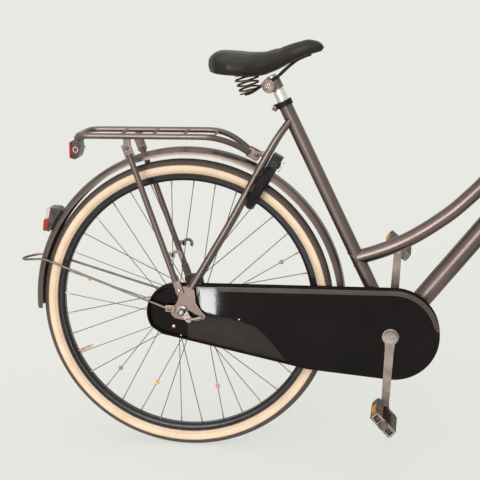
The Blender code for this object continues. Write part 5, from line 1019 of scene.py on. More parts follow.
for side in SIDES.values():
    deck.append(block((0.0180, 0.0030, 0.0330), (LEG_TOP.x, side * 0.0645, 0.7430), 0.0010))
    deck.append(block((0.0300, 0.0040, 0.0230), (0.1600, side * 0.0124, 0.7170), 0.0014,
                      TAB_TURN))
fitted(joined(deck), "carrier_deck_tubes", taupe_paint, "carrier_deck", True)
front_bolts = [bolt(Vector((0.1680, side * 0.0143, 0.7165)), LEFT * side, 0.0050, 0.0040)
               for side in SIDES.values()]
fitted(joined(front_bolts), "carrier_front_bolts", dark_ring, "carrier_deck")

# %% Carrier legs with their strap eyes
LEG_Y, LEG_WAY = 0.0700, (LEG_TOP - LEG_FOOT).normalized()
LEG_TURN = Matrix.Rotation(math.atan2(LEG_WAY.x, LEG_WAY.z), 4, "Y")
EYE_HEIGHT, EYE_AHEAD, EYE_OUTER, EYE_INNER = 0.4840, 0.0270, 0.0134, 0.0060
FLATS = [(LEG_FOOT, 0.0185, 0.0672, -0.011, 0.036, 0.036),
         (LEG_TOP, 0.0230, 0.0678, -0.026, 0.009, -0.026)]


def leg_flats(side):
    """The flattened ends of a leg, each with the neck where the tube widens into it."""
    parts = []
    for end, wide, y, low, high, neck in FLATS:
        middle = end + LEG_WAY * ((low + high) / 2) + LEFT * side * y
        parts.append(block((wide, 0.0034, high - low), middle, 0.0014, LEG_TURN))
        middle = end + LEG_WAY * neck + LEFT * side * (y + LEG_Y) * 0.5
        parts.append(block((0.0145, 0.0075, 0.0140), middle, 0.0030, LEG_TURN))
    return parts


def strap_eye(y):
    """A flat hook on its short arm, as an outer arc and an inner one run back."""
    on_leg = LEG_FOOT + LEG_WAY * ((EYE_HEIGHT - LEG_FOOT.z) / LEG_WAY.z)
    eye, arm_end = on_leg.x + EYE_AHEAD, on_leg.x + EYE_AHEAD - 0.0085
    outline = (arc_points(eye, EYE_HEIGHT, EYE_OUTER, 215.0, -40.0, 18)
               + arc_points(eye, EYE_HEIGHT, EYE_INNER, -40.0, 215.0, 16))
    arm = block((arm_end - on_leg.x, 0.0030, 0.0110),
                ((on_leg.x + arm_end) / 2, y, EYE_HEIGHT + 0.0015), 0.0006)
    return [plate(outline, y - 0.0015, y + 0.0015, bevel=0.0006), arm]


for place, side in SIDES.items():
    shift = LEFT * side * LEG_Y
    leg = [rod(LEG_FOOT + LEG_WAY * 0.024 + shift, LEG_TOP - LEG_WAY * 0.016 + shift, 0.0070, 24)]
    leg += leg_flats(side) + strap_eye(side * LEG_Y)
    fitted(joined(leg), "carrier_leg_tube_" + place, taupe_paint, "carrier_leg_" + place, True)
    for name, end, y, finish in (("foot", LEG_FOOT, 0.0688, copper),
                                 ("top", LEG_TOP, 0.0694, dark_ring)):
        screw = bolt(end + LEFT * side * y, LEFT * side, 0.0050, 0.0038)
        fitted(screw, "carrier_leg_" + name + "_screw_" + place, finish, "carrier_leg_" + place)

# %% [markdown]
# ## Lamps
# Both rear lamps have a dark moulded housing and a red lens with a softly rounded rim. The
# carrier's lens is ribbed, with a copper ring round the screw on each side of its housing,
# and the mudguard's lens has a pale window above the red.

# %% Lamp under the carrier
CARRIER_LAMP = [(-0.2700, 0.6985), (-0.2610, 0.6980), (-0.2555, 0.7035), (-0.2520, 0.7130),
                (-0.2515, 0.7300), (-0.2535, 0.7430), (-0.2650, 0.7445), (-0.2700, 0.7405)]
housing = [plate(flat_loop(CARRIER_LAMP, 0.003), -0.0250, 0.0250, bevel=0.0030),
           block((0.0220, 0.0220, 0.0100), (-0.2560, 0.0, 0.7475), 0.0008)]
fitted(joined(housing), "carrier_lamp_shell", lamp_grey, "carrier_lamp_housing", True)
SIDE_RING = [(0.0052, 0.0), (0.0066, 0.0), (0.0066, 0.0012), (0.0052, 0.0012)]
lamp_ring = [turned(SIDE_RING, (-0.2605, side * 0.0248, 0.7215), LEFT * side, 24)
             for side in SIDES.values()]
lamp_ring.append(bolt(Vector((-0.2475, 0.0, 0.7245)), FORWARD, 0.0040, 0.0045, True))
fitted(joined(lamp_ring), "carrier_lamp_rings", copper, "carrier_lamp_housing")
lens = block((0.0065, 0.0480, 0.0405), (-0.27335, 0.0, 0.71975), 0.0028)
ribs = [block((0.0010, 0.0430, 0.0016), (-0.27655, 0.0, 0.7045 + 0.0038 * i), 0.0004)
        for i in range(9)]
fitted(joined([lens, *ribs]), "carrier_lamp_red_lens", red_lens, "carrier_lamp_lens", True)

# %% Lamp on the mudguard
on_crown = [around(GUARD_CENTRE, GUARD_RADIUS + 0.0008, angle, 0.0)
            for angle in (145.0, 148.0, 151.0, 153.8)]
GUARD_LAMP = [(-0.3375, 0.5230), (-0.3235, 0.5800), (-0.3090, 0.5790)]
GUARD_LAMP += [(point.x, point.z) for point in on_crown]
fitted(plate(flat_loop(GUARD_LAMP, 0.002), -0.0220, 0.0220, bevel=0.0028),
       "mudguard_lamp_shell", lamp_grey, "mudguard_lamp_housing", True)
GUARD_LENS = [(-0.3475, 0.5235), (-0.3450, 0.5490), (-0.3375, 0.5590), (-0.3355, 0.5775),
              (-0.3290, 0.5805), (-0.3240, 0.5800), (-0.3380, 0.5230)]
fitted(plate(flat_loop(GUARD_LENS, 0.003), -0.0210, 0.0210, bevel=0.0024),
       "mudguard_lamp_red_lens", red_lens, "mudguard_lamp_lens", True)
GUARD_WINDOW = [(-0.3420, 0.5520), (-0.3382, 0.5592), (-0.3362, 0.5776), (-0.3292, 0.5810),
                (-0.3262, 0.5795), (-0.3322, 0.5540)]
fitted(plate(GUARD_WINDOW, -0.0213, 0.0213, bevel=0.0012), "mudguard_lamp_clear_window",
       clear_lens, "mudguard_lamp_lens")

# %% [markdown]
# ## Ring lock
# The lock is a horseshoe casing across the wheel, clamped to the seat stays. Turning the key
# frees a round bar that swings through the spokes; a black knob on it slides along the
# casing's slot.

# %% Ring lock
LOCK_OUT = Vector((0.4924, 0.0, 0.8704))
LOCK_NORMAL = Vector((0.8704, 0.0, -0.4924))
LOCK_CENTRE = Vector((0.17669, 0.0, 0.64031))


def in_lock(left, out):
    """A point of the lock's own plane."""
    return LOCK_CENTRE + LEFT * left + LOCK_OUT * out


CASING_WIDER, BAR_ARC, KNOB_ANGLE = 1.28, 0.055, math.radians(44.0)
lock_body = dressed("ring_lock_body", black_paint, 0.0016, segments=3)
lay_flat = (Matrix.Translation(LOCK_CENTRE)
            @ LOCK_NORMAL.to_track_quat("Z", "Y").to_matrix().to_4x4())
widen = Matrix.Diagonal((1.0, 1.0, CASING_WIDER, 1.0))
lock_body.data.transform(lay_flat @ widen @ lay_flat.inverted())
bar = tube([in_lock(left, out) for left, out in arc_points(0.0, 0.0, BAR_ARC, -57.0, 59.0, 29)],
           0.0040, 20)
knob_way = LEFT * math.cos(KNOB_ANGLE) + LOCK_OUT * math.sin(KNOB_ANGLE)
knob_neck = rod(LOCK_CENTRE + knob_way * BAR_ARC, LOCK_CENTRE + knob_way * 0.0720, 0.0026, 16)
fitted(joined([bar, knob_neck]), "lock_bar", steel, "ring_lock_shackle", True)
knob = turned([(0, 0.0690), (0.0052, 0.0692), (0.0065, 0.0708), (0.0060, 0.0740),
               (0.0065, 0.0770), (0.0062, 0.0806), (0.0045, 0.0822), (0, 0.0824)],
              LOCK_CENTRE, knob_way, 28)
fitted(knob, "lock_knob", black_plastic, "ring_lock_shackle")
dressed("ring_lock_key", steel, 0.0005)
side_ring = turned([(0.0038, -0.0012), (0.0060, -0.0012), (0.0060, 0.0008), (0.0048, 0.0014),
                    (0.0038, 0.0006)], in_lock(-0.0282, 0.0660), -LEFT, 28)
fitted(side_ring, "lock_side_ring", dark_ring, "ring_lock_body")

# %% [markdown]
# ## Chain case
# A glossy black case hides the whole chain: an inner half with its walls, an outer panel, a
# brown grey band clipped along the upper and front edge, and a cap at the rear that comes
# off to take the wheel out. The walls, the panel and the band are outlines of arcs and
# straight runs, filled and extruded, because pressed sheet has one thickness all over. One
# outline, drawn in by a small inset, gives them all, so that they nest.

# %% Outline of the chain case
CASE_FRONT, CASE_REAR = (0.494, 0.309, 0.1065), (-0.020, 0.345, 0.0665)
SLOPE, DIP = math.tan(math.radians(11.8)), math.tan(math.radians(5.0))
CASE_OUT, CASE_IN, CAP_FACE, CASE_WALL = -0.0685, -0.0335, -0.0540, 0.0016


def under_line(inset):
    """The height of the sloping underside at x = 0."""
    return 0.2815 - 0.001 * SLOPE + inset / math.cos(math.atan(SLOPE))


def case_front(inset, start=-95.0, end=91.0, steps=40):
    u, v, radius = CASE_FRONT
    return arc_points(u, v, radius - inset, start, end, steps)


def case_knee(inset):
    """Where the sloping underside meets the flatter run to the front arc."""
    touch_u, touch_v = case_front(inset)[0]
    knee = (under_line(inset) - touch_v - touch_u * DIP) / (SLOPE - DIP)
    return (knee, touch_v + (touch_u - knee) * DIP)


def case_outline(inset):
    u, v, radius = CASE_REAR
    tail = -0.050 + inset
    return (case_front(inset) + arc_points(u, v, radius - inset, 90.0, 213.0, 24)
            + [(tail, under_line(inset) - tail * SLOPE), case_knee(inset)])


SEAM = [(0.0434, 0.4105), (0.0425, 0.4080), (0.0375, 0.3955), (0.0325, 0.3785), (0.0505, 0.3495),
        (0.0600, 0.3390), (0.1090, 0.3370), (0.1400, 0.3290), (0.1700, 0.3195),
        (0.1900, 0.3050), (0.2108, 0.2820), (0.2336, 0.2538), (0.2470, 0.2370), (0.2515, 0.2303)]
seam = [(point.x, point.z) for point in bent([(u, 0, v) for u, v in SEAM], 0.008, 4)]
print("the seam between panel and cap has", len(seam), "points")

# %% Walls and panel of the chain case
PANEL_INSET = 0.0012
inner_half = [plate(case_outline(0.0), CASE_OUT + CASE_WALL + 0.0003, CASE_IN,
                    [case_outline(0.0026)], bevel=0.0010),
              plate(case_outline(0.0004), CASE_IN - CASE_WALL, CASE_IN,
                    [circle_at(BRACKET.x, BRACKET.z, 0.0225),
                     circle_at(0.0, AXLE_HEIGHT, 0.040)])]
fitted(joined(inner_half), "chain_case_walls", case_wall, "chain_case_back", True)
panel = plate(case_front(PANEL_INSET) + seam + [case_knee(PANEL_INSET)], CASE_OUT,
              CASE_OUT + CASE_WALL, [circle_at(BRACKET.x, BRACKET.z, 0.0210, 32)], bevel=0.0006)
folded = seam[2:-2]
fold = [(u + 0.0014, v) for u, v in folded] + [(u + 0.0002, v) for u, v in reversed(folded)]
lip = plate(fold, CASE_OUT + 0.0010, -0.0615)
fitted(joined([panel, lip]), "chain_case_panel", black_gloss, "chain_case_cover", True)

# %% Band along the chain case
BAND_END, BAND_WIDTH, BAND_START = 0.083, 0.0110, 7.0
top_v = CASE_REAR[1] + CASE_REAR[2]
band_outline = (case_front(-0.0006, BAND_START)
                + [(BAND_END, top_v + 0.0006), (BAND_END, top_v - BAND_WIDTH)]
                + case_front(BAND_WIDTH, 15.0)[::-1] + case_front(0.0055, BAND_START)[:1])
band = plate(band_outline, CASE_OUT - 0.0023, CASE_OUT - 0.0003)
softened(band, 0.0016, 4, 50.0)
bead_line = [(u, CASE_OUT - 0.0020, v) for u, v in
             [(0.086, top_v - 0.0052)] + case_front(0.0052, 12.0)[::-1]]
fitted(joined([band, tube(bead_line, 0.0022, 12)]), "chain_case_band_rolled", band_grey,
       "chain_case_band", True, 50.0)

# %% [markdown]
# The rear cap is a copy of its solid with rounded edges. Ribs round its rim give the fingers
# a hold, a copper plug and a rivet sit in its face, and its lower part, under the panel's
# seam, is a duller brown where the other parts are glossy black.

# %% Rear cap with its gripping ribs
CAP_RIBS, CAP_RIB_START, CAP_RIB_PITCH = 22, 96.0, 5.4
cap_u, cap_v, cap_radius = CASE_REAR
cap_centre = Vector((cap_u, 0.0, cap_v))
dressed("chain_case_rear_cap", black_gloss, 0.0016, segments=3, angle=50.0)
cap_ribs = []
for number in range(CAP_RIBS):
    angle = CAP_RIB_START + number * CAP_RIB_PITCH
    cap_ribs.append(block((0.0042, 0.0150, 0.0026),
                          around(cap_centre, cap_radius - 0.0012, angle, -0.0462), 0.0007,
                          Matrix.Rotation(math.radians(-angle), 4, "Y")))
fitted(joined(cap_ribs), "chain_case_cap_ribs", black_gloss, "chain_case_rear_cap")
rivet = bolt(Vector((-0.0067, -0.0538, 0.2859)), -LEFT, 0.0026, 0.0016)
fitted(rivet, "chain_case_cap_rivet", steel, "chain_case_rear_cap")
plug = turned([(0, 0), (0.0046, 0), (0.0044, 0.0010), (0.0030, 0.0018), (0, 0.0020)],
              (-0.0241, -0.0538, 0.3079), -LEFT, 24)
fitted(plug, "chain_case_cap_plug", copper, "chain_case_rear_cap")
SKIN_FRONT, SKIN_REAR = 0.2480, 0.0100
below = [(u, v - 0.0015) for u, v in seam if u > 0.058]
below += [(u, under_line(PANEL_INSET) - u * SLOPE) for u in (SKIN_FRONT, SKIN_REAR)]
below += [(SKIN_REAR, 0.3310), (0.0500, 0.3368)]
fitted(plate(below, CAP_FACE - 0.0005, CAP_FACE + 0.0002), "chain_case_cap_skin", cap_brown,
       "chain_case_rear_cap")
rim_line = [(u, CAP_FACE - 0.0004, v)
            for u, v in arc_points(cap_u, cap_v, cap_radius - 0.0075, 92.0, 205.0, 30)]
fitted(tube(rim_line, 0.0017, 10), "chain_case_cap_rim", black_gloss, "chain_case_rear_cap")
clip = block((0.0048, 0.0040, 0.0030), (0.1344, -0.0672, 0.3345), 0.0008)
fitted(clip, "chain_case_seam_clip", steel, "chain_case_cover")

# %% [markdown]
# The chain, chainring and sprocket are shut inside the case. Their solids have every tooth
# already, so they stay as they are and only change their finish.

# %% Chain, chainring and sprocket
for node, finish in (("chain", chain_steel), ("chainring", steel), ("rear_sprocket", steel)):
    slots = nodes[node].data.materials
    for index in range(len(slots)):
        slots[index] = finish
    print(node, "is now", finish.name)

# %% [markdown]
# ## Axle, tensioners and brake arm
# At each end of the rear axle a domed nut presses a washer on the drop-out, and a small eye
# with a screw draws the wheel back. The arm on the left stops the brake hub's drum.

# %% Axles and nuts
rear_pin = turned([(0, -0.0880), (0.0040, -0.0880), (0.0050, -0.0870), (0.0050, 0.0870),
                   (0.0040, 0.0880), (0, 0.0880)], AXLE["rear"], LEFT, 24)
rear_rings = [turned([(0.0048, low), (0.0090, low), (0.0090, high), (0.0048, high)],
                     AXLE["rear"], LEFT, 24)
              for low, high in ((-0.0597, -0.0548), (0.0568, 0.0597))]
fitted(joined([rear_pin, *rear_rings]), "rear_axle_turned", steel, "rear_axle", True, 30.0)
NUT = [(0, 0.0016), (0.0100, 0.0016), (0.0100, 0.0150), (0.0094, 0.0160), (0, 0.0160)]
DOME = [(0, 0.0155), (0.0088, 0.0155), (0.0086, 0.0180), (0.0074, 0.0215), (0.0052, 0.0243),
        (0.0024, 0.0258), (0, 0.0262)]
WASHER = [(0, 0), (0.0115, 0), (0.0115, 0.0012), (0.0110, 0.0016), (0, 0.0016)]
for place, side in SIDES.items():
    seat = AXLE["rear"] + LEFT * side * 0.0676
    parts = [turned(section, seat, LEFT * side, steps)
             for section, steps in ((NUT, 6), (DOME, 28), (WASHER, 32))]
    fitted(joined(parts), "rear_axle_nut_domed_" + place, steel, "rear_axle_nut_" + place,
           True, 30.0)
    dressed("chain_tensioner_" + place, aluminium, 0.0005)
dressed("coaster_brake_arm", steel, 0.0006)
dressed("front_axle", steel, 0.0004, angle=50.0)
dressed("crank_spindle", steel, 0.0006)
for place in SIDES:
    dressed("pedal_spindle_" + place, steel, 0.0004)

# %% [markdown]
# ## Cranks and pedals
# The crank arms are forged aluminium with soft edges. Each pedal has two rubber blocks with
# grooves across them, moulded end plates with barred windows in the outer one, a barrel on the
# spindle with a dust cap, and orange reflectors at its front and rear. Very dark blocks behind
# the windows are painted shade in them. A pedal is modelled level, about its spindle, and then
# tilted as it hangs on the crank.

# %% Cranks
EYE_RING = [(0.0085, 0.0862), (0.0100, 0.0862), (0.0104, 0.0856), (0.0150, 0.0856),
            (0.0150, 0.0850), (0.0085, 0.0850)]
BOSS_RING = [(0.0150, 0.0692), (0.0196, 0.0692), (0.0199, 0.0700), (0.0199, 0.0732),
             (0.0190, 0.0742), (0.0165, 0.0742), (0.0150, 0.0736)]
for place, side in SIDES.items():
    dressed("crank_arm_" + place, aluminium, 0.0030, segments=4, angle=50.0)
    fitted(turned(EYE_RING, BRACKET, LEFT * side, 32), "crank_eye_ring_" + place, aluminium,
           "crank_arm_" + place)
fitted(turned(BOSS_RING, BRACKET, -LEFT, 40), "crank_boss_ring", dark_ring, "crank_arm_right")

# %% The pieces of a pedal
PEDAL_AXIS = {"right": Vector((0.47851, 0.0, 0.13775)), "left": Vector((0.49689, 0.0, 0.47725))}
PEDAL_TILT = {"right": -47.0, "left": -38.0}
PEDAL_INNER, PEDAL_OUTER, PEDAL_HALF, PEDAL_RISE = 0.0925, 0.2005, 0.032, 0.0115
LUGS, LUG_PITCH, LUG_WIDTH, LUG_HALF = 11, 0.0091, 0.0060, 0.0014
WINDOW_START, WINDOW_END, WINDOW_RISE = 0.0125, 0.0270, 0.0066
BARS = (-0.0218, -0.0172, 0.0172, 0.0218)
DUST_CAP = [(0, 0.1990), (0.0098, 0.1990), (0.0100, 0.2008), (0.0088, 0.2020),
            (0.0070, 0.2020), (0.0062, 0.2012), (0, 0.2010)]
BARREL = [(0.0058, 0.0927), (0.0106, 0.0927), (0.0112, 0.0933), (0.0112, 0.1990),
          (0.0104, 0.2005), (0, 0.2005), (0, 0.1930), (0.0058, 0.1930)]


def pedal_block(side, ends, low, high, half, bevel, lift=0.0):
    """A level block: its ends along the bicycle, and low and high out from the middle."""
    start, end = sorted(ends)
    return block((end - start, high - low, 2 * half),
                 ((start + end) / 2, side * (low + high) / 2, lift), bevel)


def tilted(pieces, place):
    """Level pieces as one object, turned about the pedal's spindle."""
    piece = joined(pieces)
    turn = Matrix.Rotation(math.radians(-PEDAL_TILT[place]), 4, "Y")
    piece.data.transform(Matrix.Translation(PEDAL_AXIS[place]) @ turn)
    return piece


def rubber_blocks(side):
    """Two blocks, each with a row of lugs above and below."""
    parts = []
    for end in (-1, 1):
        inner, outer = end * 0.0130, end * (PEDAL_HALF - 0.0004)
        parts.append(pedal_block(side, (inner, outer), PEDAL_INNER + 0.0020,
                                 PEDAL_OUTER - 0.0085, PEDAL_RISE - 0.0016, 0.0012))
        inner, outer = inner + end * 0.0006, outer - end * 0.0006
        for face in (-1, 1):
            for row in range(LUGS):
                low = PEDAL_INNER + 0.0075 + row * LUG_PITCH
                parts.append(pedal_block(side, (inner, outer), low, low + LUG_WIDTH, LUG_HALF,
                                         0.0007, face * (PEDAL_RISE - LUG_HALF)))
    return parts


def end_plates(side):
    """An eight-cornered plate at each end; the outer one has two barred windows."""
    u, v, cut_off = PEDAL_HALF + 0.0002, PEDAL_RISE - 0.0004, 0.0055
    corner = [(u, v - cut_off), (u - cut_off, v)]
    octagon = (corner + [(-x, z) for x, z in reversed(corner)]
               + [(-x, -z) for x, z in corner] + [(x, -z) for x, z in reversed(corner)])
    windows = [[(low, -WINDOW_RISE), (high, -WINDOW_RISE), (high, WINDOW_RISE),
                (low, WINDOW_RISE)]
               for low, high in ((-WINDOW_END, -WINDOW_START), (WINDOW_START, WINDOW_END))]
    parts = [plate(octagon, side * PEDAL_INNER, side * (PEDAL_INNER + 0.005), bevel=0.0010),
             plate(octagon, side * (PEDAL_OUTER - 0.006), side * (PEDAL_OUTER - 0.001), windows,
                   bevel=0.0010)]
    return parts + [pedal_block(side, (bar - 0.0005, bar + 0.0005), PEDAL_OUTER - 0.0050,
                                PEDAL_OUTER - 0.0018, 0.0064, 0.0003) for bar in BARS]


print("a pedal is", PEDAL_OUTER - PEDAL_INNER, "m long")

# %% Pedals
for place, side in SIDES.items():
    node, axis = "pedal_" + place, PEDAL_AXIS[place]
    rubbers = tilted(rubber_blocks(side), place)
    reflectors = [pedal_block(side, (end * (PEDAL_HALF - 0.001), end * (PEDAL_HALF + 0.0015)),
                              PEDAL_INNER + 0.038, PEDAL_OUTER - 0.018, PEDAL_RISE / 2, 0.0008)
                  for end in (-1, 1)]
    # Very dark blocks right behind the outer plate's windows: painted shade in the windows.
    dark = [pedal_block(side, (end * 0.0120, end * 0.0275), PEDAL_OUTER - 0.0085,
                        PEDAL_OUTER - 0.0060, 0.0072, 0.0003) for end in (-1, 1)]
    plates = tilted(end_plates(side), place)
    dust_cap = turned(DUST_CAP, axis, LEFT * side, 32)
    barrel = joined([tilted(dark, place), turned(BARREL, axis, LEFT * side, 32)])
    fitted(rubbers, "pedal_rubber_blocks_" + place, rubber, node, True)
    fitted(barrel, "pedal_barrel_and_window_shade_" + place, pedal_dark, node)
    fitted(plates, "pedal_end_plates_" + place, pedal_plastic, node)
    fitted(dust_cap, "pedal_dust_cap_" + place, dark_ring, node)
    fitted(tilted(reflectors, place), "pedal_reflectors_" + place, orange_lens, node)

# %% [markdown]
# ## Kickstand
# The stand folds up on the left, where the wheel and the chain case hide most of it. It is a
# bent steel rod that swings on a hub.

# %% Kickstand
LEG = [(0.418, 0.0213, 0.2830), (0.384, 0.0350, 0.2832), (0.270, 0.0560, 0.2850),
       (0.152, 0.0920, 0.2880)]
leg = tube(bent(LEG, 0.03), 0.0080, 24)
pivot = turned([(0, 0.0126), (0.0110, 0.0126), (0.0115, 0.0132), (0.0115, 0.0276),
                (0.0110, 0.0283), (0, 0.0283)], (0.420, 0.0, 0.283), LEFT, 32)
fitted(joined([leg, pivot]), "kickstand_rod", black_paint, "kickstand", True)

# %% [markdown]
# ## Fork, stem and handlebar
# The photograph ends before the front of the bicycle, so its front follows what such
# bicycles have: a raked fork with tapered blades, a quill stem, a swept-back bar with soft
# grips, and a round headlamp on a bracket.

# %% Fork
BLADE = [(head_line(0.396), 0.0430), (head_line(0.280), 0.0452),
         (head_line(0.180) + HEAD_FORWARD * 0.005, 0.0482),
         (head_line(0.090) + HEAD_FORWARD * 0.026, 0.0516),
         (AXLE["front"] + HEAD_UP * 0.020 - HEAD_FORWARD * 0.004, 0.0540)]
path = bent([point + LEFT * across for point, across in BLADE], 0.05)
taper = [1.0 - 0.36 * index / (len(path) - 1) for index in range(len(path))]
blades = both_sides(tube(path, 0.0125, 24, taper))
crown_middle = head_line(0.40015)
crown = block((0.034, 0.106, 0.0203), crown_middle, 0.0060,
              Matrix.Rotation(math.radians(67.0 - 90.0), 4, "Y"))
LAMP_CENTRE = Vector((0.955, 0.0, 0.776))
lamp_foot = LAMP_CENTRE + Vector((-0.012, 0.0, -0.0355))
bracket = rod(crown_middle + HEAD_FORWARD * 0.014, lamp_foot, 0.0040, 16)
eye = rod(lamp_foot - UP * 0.0040, lamp_foot + UP * 0.0039, 0.0055, 20, 0.0008)
steerer = rod(head_line(0.3940), head_line(0.6307), 0.0127, 32)
fitted(joined([blades, crown, steerer]), "fork_brazed", taupe_paint, "fork", True)
fitted(joined([bracket, eye]), "headlamp_bracket", steel, "fork")
tip_outline = arc_points(WHEEL_BASE, AXLE_HEIGHT, 0.0115, 150.0, 390.0, 12)
tip_top = AXLE["front"] + HEAD_UP * 0.030
tip_outline += [(tip_top.x + 0.006, tip_top.z), (tip_top.x - 0.006, tip_top.z)]
tip = plate(tip_outline, 0.0500, 0.0540, bevel=0.0008)
fitted(both_sides(tip), "fork_tips", taupe_paint, "fork")

# %% Stem
BAR_CENTRE = Vector((0.835, 0.0, 1.014))
quill_top = head_line(0.735)
stem_parts = [rod(head_line(0.540), quill_top, 0.0110, 32),
              turned([(0, 0.6312), (0.0170, 0.6312), (0.0175, 0.6322), (0.0175, 0.6416),
                      (0.0160, 0.6432), (0, 0.6432)], HEAD_FOOT, HEAD_UP, 6),
              rod(quill_top, BAR_CENTRE, 0.0130, 32),
              turned([(0, -0.0160), (0.0130, -0.0160), (0.0145, -0.0140), (0.0145, 0.0090),
                      (0.0125, 0.0115), (0.0050, 0.0125), (0, 0.0105)], quill_top, HEAD_UP, 32),
              turned(there_and_back([(0.0112, 0.0190), (0.0168, 0.0190), (0.0175, 0.0182),
                                     (0.0175, 0.0010)]), BAR_CENTRE, LEFT, 36)]
fitted(joined(stem_parts), "stem_forged", aluminium, "stem", True)
clamp_bolt = turned([(0, 0), (0.0048, 0), (0.0048, 0.0030), (0.0042, 0.0036), (0.0025, 0.0036),
                     (0.0025, 0.0018), (0, 0.0018)], quill_top + HEAD_UP * 0.0108, HEAD_UP, 6)
fitted(clamp_bolt, "stem_bolt", steel, "stem")

# %% Handlebar and grips
GRIP_START = Vector((0.8000, 0.2680, 1.0850))
GRIP_WAY = Vector((-0.9550, 0.2600, -0.1000)).normalized()
RIBS, RIB_START, RIB_PITCH, DIP_DEPTH = 12, 0.0230, 0.0070, 0.0010
BAR = [(0.8350, 0.0220, 1.0140), (0.8400, 0.0700, 1.0220), (0.8430, 0.1300, 1.0450),
       (0.8400, 0.1900, 1.0700), (0.8270, 0.2380, 1.0830),
       tuple(GRIP_START - GRIP_WAY * 0.004), tuple(GRIP_START + GRIP_WAY * 0.114)]
bar = tube(bent(mirrored(BAR) + BAR, 0.024), 0.0110, 28)
fitted(bar, "handlebar_bent", bar_chrome, "handlebar", True)
for place, side in SIDES.items():
    start = Vector((GRIP_START.x, side * GRIP_START.y, GRIP_START.z))
    way = Vector((GRIP_WAY.x, side * GRIP_WAY.y, GRIP_WAY.z))
    section = [(0.0112, 0.0100), (0.0150, 0.0100), (0.0158, 0.0110), (0.0162, 0.0180)]
    for rib in range(RIBS):
        low = RIB_START + rib * RIB_PITCH
        dip = DIP_DEPTH * math.sin(math.pi * rib / (RIBS - 1))
        section += [(0.0146 - dip, low), (0.0160 - dip, low + 0.0012),
                    (0.0160 - dip, low + 0.0044), (0.0146 - dip, low + 0.0056)]
    section += [(0.0162, 0.1090), (0.0174, 0.1120), (0.0174, 0.1190), (0.0160, 0.1220),
                (0, 0.1220), (0, 0.1186), (0.0112, 0.1186)]
    fitted(turned(section, start, way, 32), "grip_ribbed_" + place, grip_rubber,
           "grip_" + place, True, 50.0)

# %% Headlamp
lamp = turned([(0, -0.0400), (0.0080, -0.0392), (0.0150, -0.0362), (0.0215, -0.0302),
               (0.0275, -0.0212), (0.0318, -0.0090), (0.0338, 0.0040), (0.0340, 0.0280),
               (0.0336, 0.0300), (0.0320, 0.0300), (0.0320, 0.0222), (0, 0.0222)],
              LAMP_CENTRE, FORWARD, 48)
foot = rod(lamp_foot + UP * 0.0042, lamp_foot + UP * 0.0140, 0.0060, 24)
fitted(joined([lamp, foot]), "headlamp_shell", lamp_grey, "headlamp_housing", True, 40.0)
glass = turned([(0, 0.0223), (0.0316, 0.0223), (0.0316, 0.0292), (0.0300, 0.0304),
                (0.0240, 0.0324), (0.0160, 0.0341), (0.0080, 0.0350), (0, 0.0352)],
               LAMP_CENTRE, FORWARD, 48)
fitted(glass, "headlamp_glass", clear_lens, "headlamp_lens", True, 40.0)
rim = turned([(0.0318, 0.0285), (0.0344, 0.0285), (0.0346, 0.0302), (0.0338, 0.0312),
              (0.0318, 0.0308)], LAMP_CENTRE, FORWARD, 48)
fitted(rim, "headlamp_rim", steel, "headlamp_housing")

# %% [markdown]
# ## Camera
# The camera takes the photograph's view: from the right side, three metres off, through a long
# lens that keeps the wheels round. It stands a little higher than the handlebar and looks
# slightly down and to the rear, where most of the equipment is.

# %% Camera
CAMERA_PLACE, LOOKS_DOWN, LOOKS_BACK = (0.5522, -3.0, 1.1446), 11.819, 8.065
SENSOR, LENS = 36.0, 98.175
camera_data = bpy.data.cameras.new("camera")
camera = bpy.data.objects.new("camera", camera_data)
scene.collection.objects.link(camera)
camera.location = CAMERA_PLACE
camera.rotation_euler = (math.radians(90.0 - LOOKS_DOWN), 0.0, math.radians(LOOKS_BACK))
camera_data.sensor_width = SENSOR
camera_data.lens = LENS
scene.camera = camera
print("lens:", LENS, "mm")

# %% [markdown]
# ## Backdrop and floor
# A studio's paper runs from the floor up the wall in one pale tone. Here the world shows that
# tone to the camera and in gloss and glass, and gives a plain white light to everything else.
# The floor is matt paper of the same tone. It glows with a part of it where it is seen, which
# evens out the light on it and leaves a soft shadow.

# %% World
BACKDROP = (0.823, 0.831, 0.783)
WHITE, WORLD_LIGHT, FLOOR_GLOW = (1.0, 1.0, 1.0), 0.42, 0.70
scene.view_settings.view_transform = "Standard"


def seen(tree):
    """1 on rays from the camera and in gloss and glass, 0 on rays that only bring light."""
    rays = tree.nodes.new("ShaderNodeLightPath")
    mirrored_rays = worked_out(tree, "MAXIMUM", rays.outputs["Is Glossy Ray"],
                               rays.outputs["Is Transmission Ray"])
    return worked_out(tree, "MAXIMUM", rays.outputs["Is Camera Ray"], mirrored_rays)


def shining(tree, kind, colour, strength=1.0):
    node = tree.nodes.new(kind)
    node.inputs["Color"].default_value = (*colour, 1.0)
    node.inputs["Strength"].default_value = strength
    return node.outputs[0]


def mixed(tree, share, first, second, output):
    """Two shaders mixed into the output."""
    mix = tree.nodes.new("ShaderNodeMixShader")
    for socket, source in zip(mix.inputs, (share, first, second)):
        linked(tree, source, socket)
    linked(tree, mix.outputs["Shader"], output.inputs["Surface"])


world = bpy.data.worlds.new("studio")
scene.world = world
world.use_nodes = True
tree = world.node_tree
tree.nodes.clear()
mixed(tree, seen(tree), shining(tree, "ShaderNodeBackground", WHITE, WORLD_LIGHT),
      shining(tree, "ShaderNodeBackground", BACKDROP), tree.nodes.new("ShaderNodeOutputWorld"))
print("the world lights with", WORLD_LIGHT, "of white")

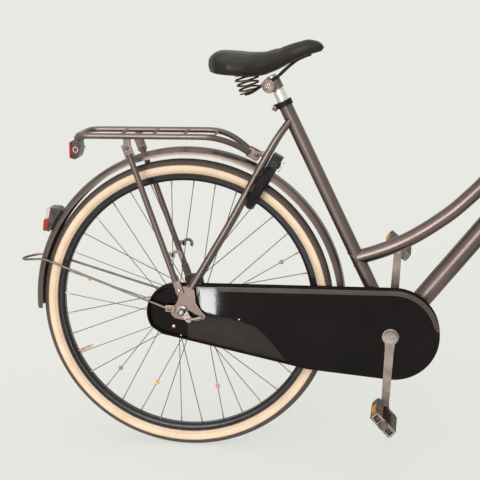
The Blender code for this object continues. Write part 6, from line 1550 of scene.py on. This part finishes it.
# %% Floor
bpy.ops.object.select_all(action="DESELECT")
bpy.ops.mesh.primitive_plane_add(size=240.0, location=(0.5, 0.0, -0.0005))
floor = bpy.context.object
floor.name = "studio_floor"
floor_paint = bpy.data.materials.new("floor_paint")
floor_paint.use_nodes = True
tree = floor_paint.node_tree
shader = tree.nodes["Principled BSDF"]
shader.inputs["Base Color"].default_value = (*BACKDROP, 1.0)
shader.inputs["Roughness"].default_value = 1.0
shader.inputs["Specular IOR Level"].default_value = 0.0
mixed(tree, worked_out(tree, "MULTIPLY", seen(tree), FLOOR_GLOW), shader.outputs["BSDF"],
      shining(tree, "ShaderNodeEmission", BACKDROP), tree.nodes["Material Output"])
floor.data.materials.append(floor_paint)
print("the floor is", floor.dimensions.x, "m wide")

# %% [markdown]
# ## Lamps of the studio
# Three suns light the bicycle. They shine the same way everywhere, so that the floor stays
# even: a key from the camera's side, a low one that draws a highlight along the upright tubes,
# and a wide one from above for the tops. A small softbox low in front shows as a pale patch
# in the gloss of the chain case, as a lit window would, and gives no light to matt surfaces.

# %% Suns and softbox
SUNS = {"key": ((-0.30, -2.0, 0.85), 1.10, 30.0), "low": ((-0.35, -2.0, 0.10), 1.40, 22.0),
        "top": ((0.3, -0.8, 3.0), 1.15, 90.0)}
SOFTBOX_WIDTH, SOFTBOX_HEIGHT, SOFTBOX_RADIANCE = 0.064, 0.100, 62.0


def lamp(name, data, towards):
    """A lamp that faces away from a direction, as if it stood there."""
    made = bpy.data.objects.new(name, data)
    scene.collection.objects.link(made)
    made.rotation_euler = Vector(towards).to_track_quat("Z", "Y").to_euler()
    return made


for name, (towards, strength, angle) in SUNS.items():
    data = bpy.data.lights.new(name, "SUN")
    data.energy = strength
    data.angle = math.radians(angle)
    lamp(name, data, towards)
data = bpy.data.lights.new("softbox", "AREA")
data.shape = "RECTANGLE"
data.size = SOFTBOX_WIDTH
data.size_y = SOFTBOX_HEIGHT
data.energy = SOFTBOX_RADIANCE * math.pi * SOFTBOX_WIDTH * SOFTBOX_HEIGHT
softbox = lamp("softbox", data, -LEFT)
softbox.location = (-0.152, -1.30, 0.054)
softbox.visible_camera = False
softbox.visible_diffuse = False
print(len(bpy.data.lights), "lamps")
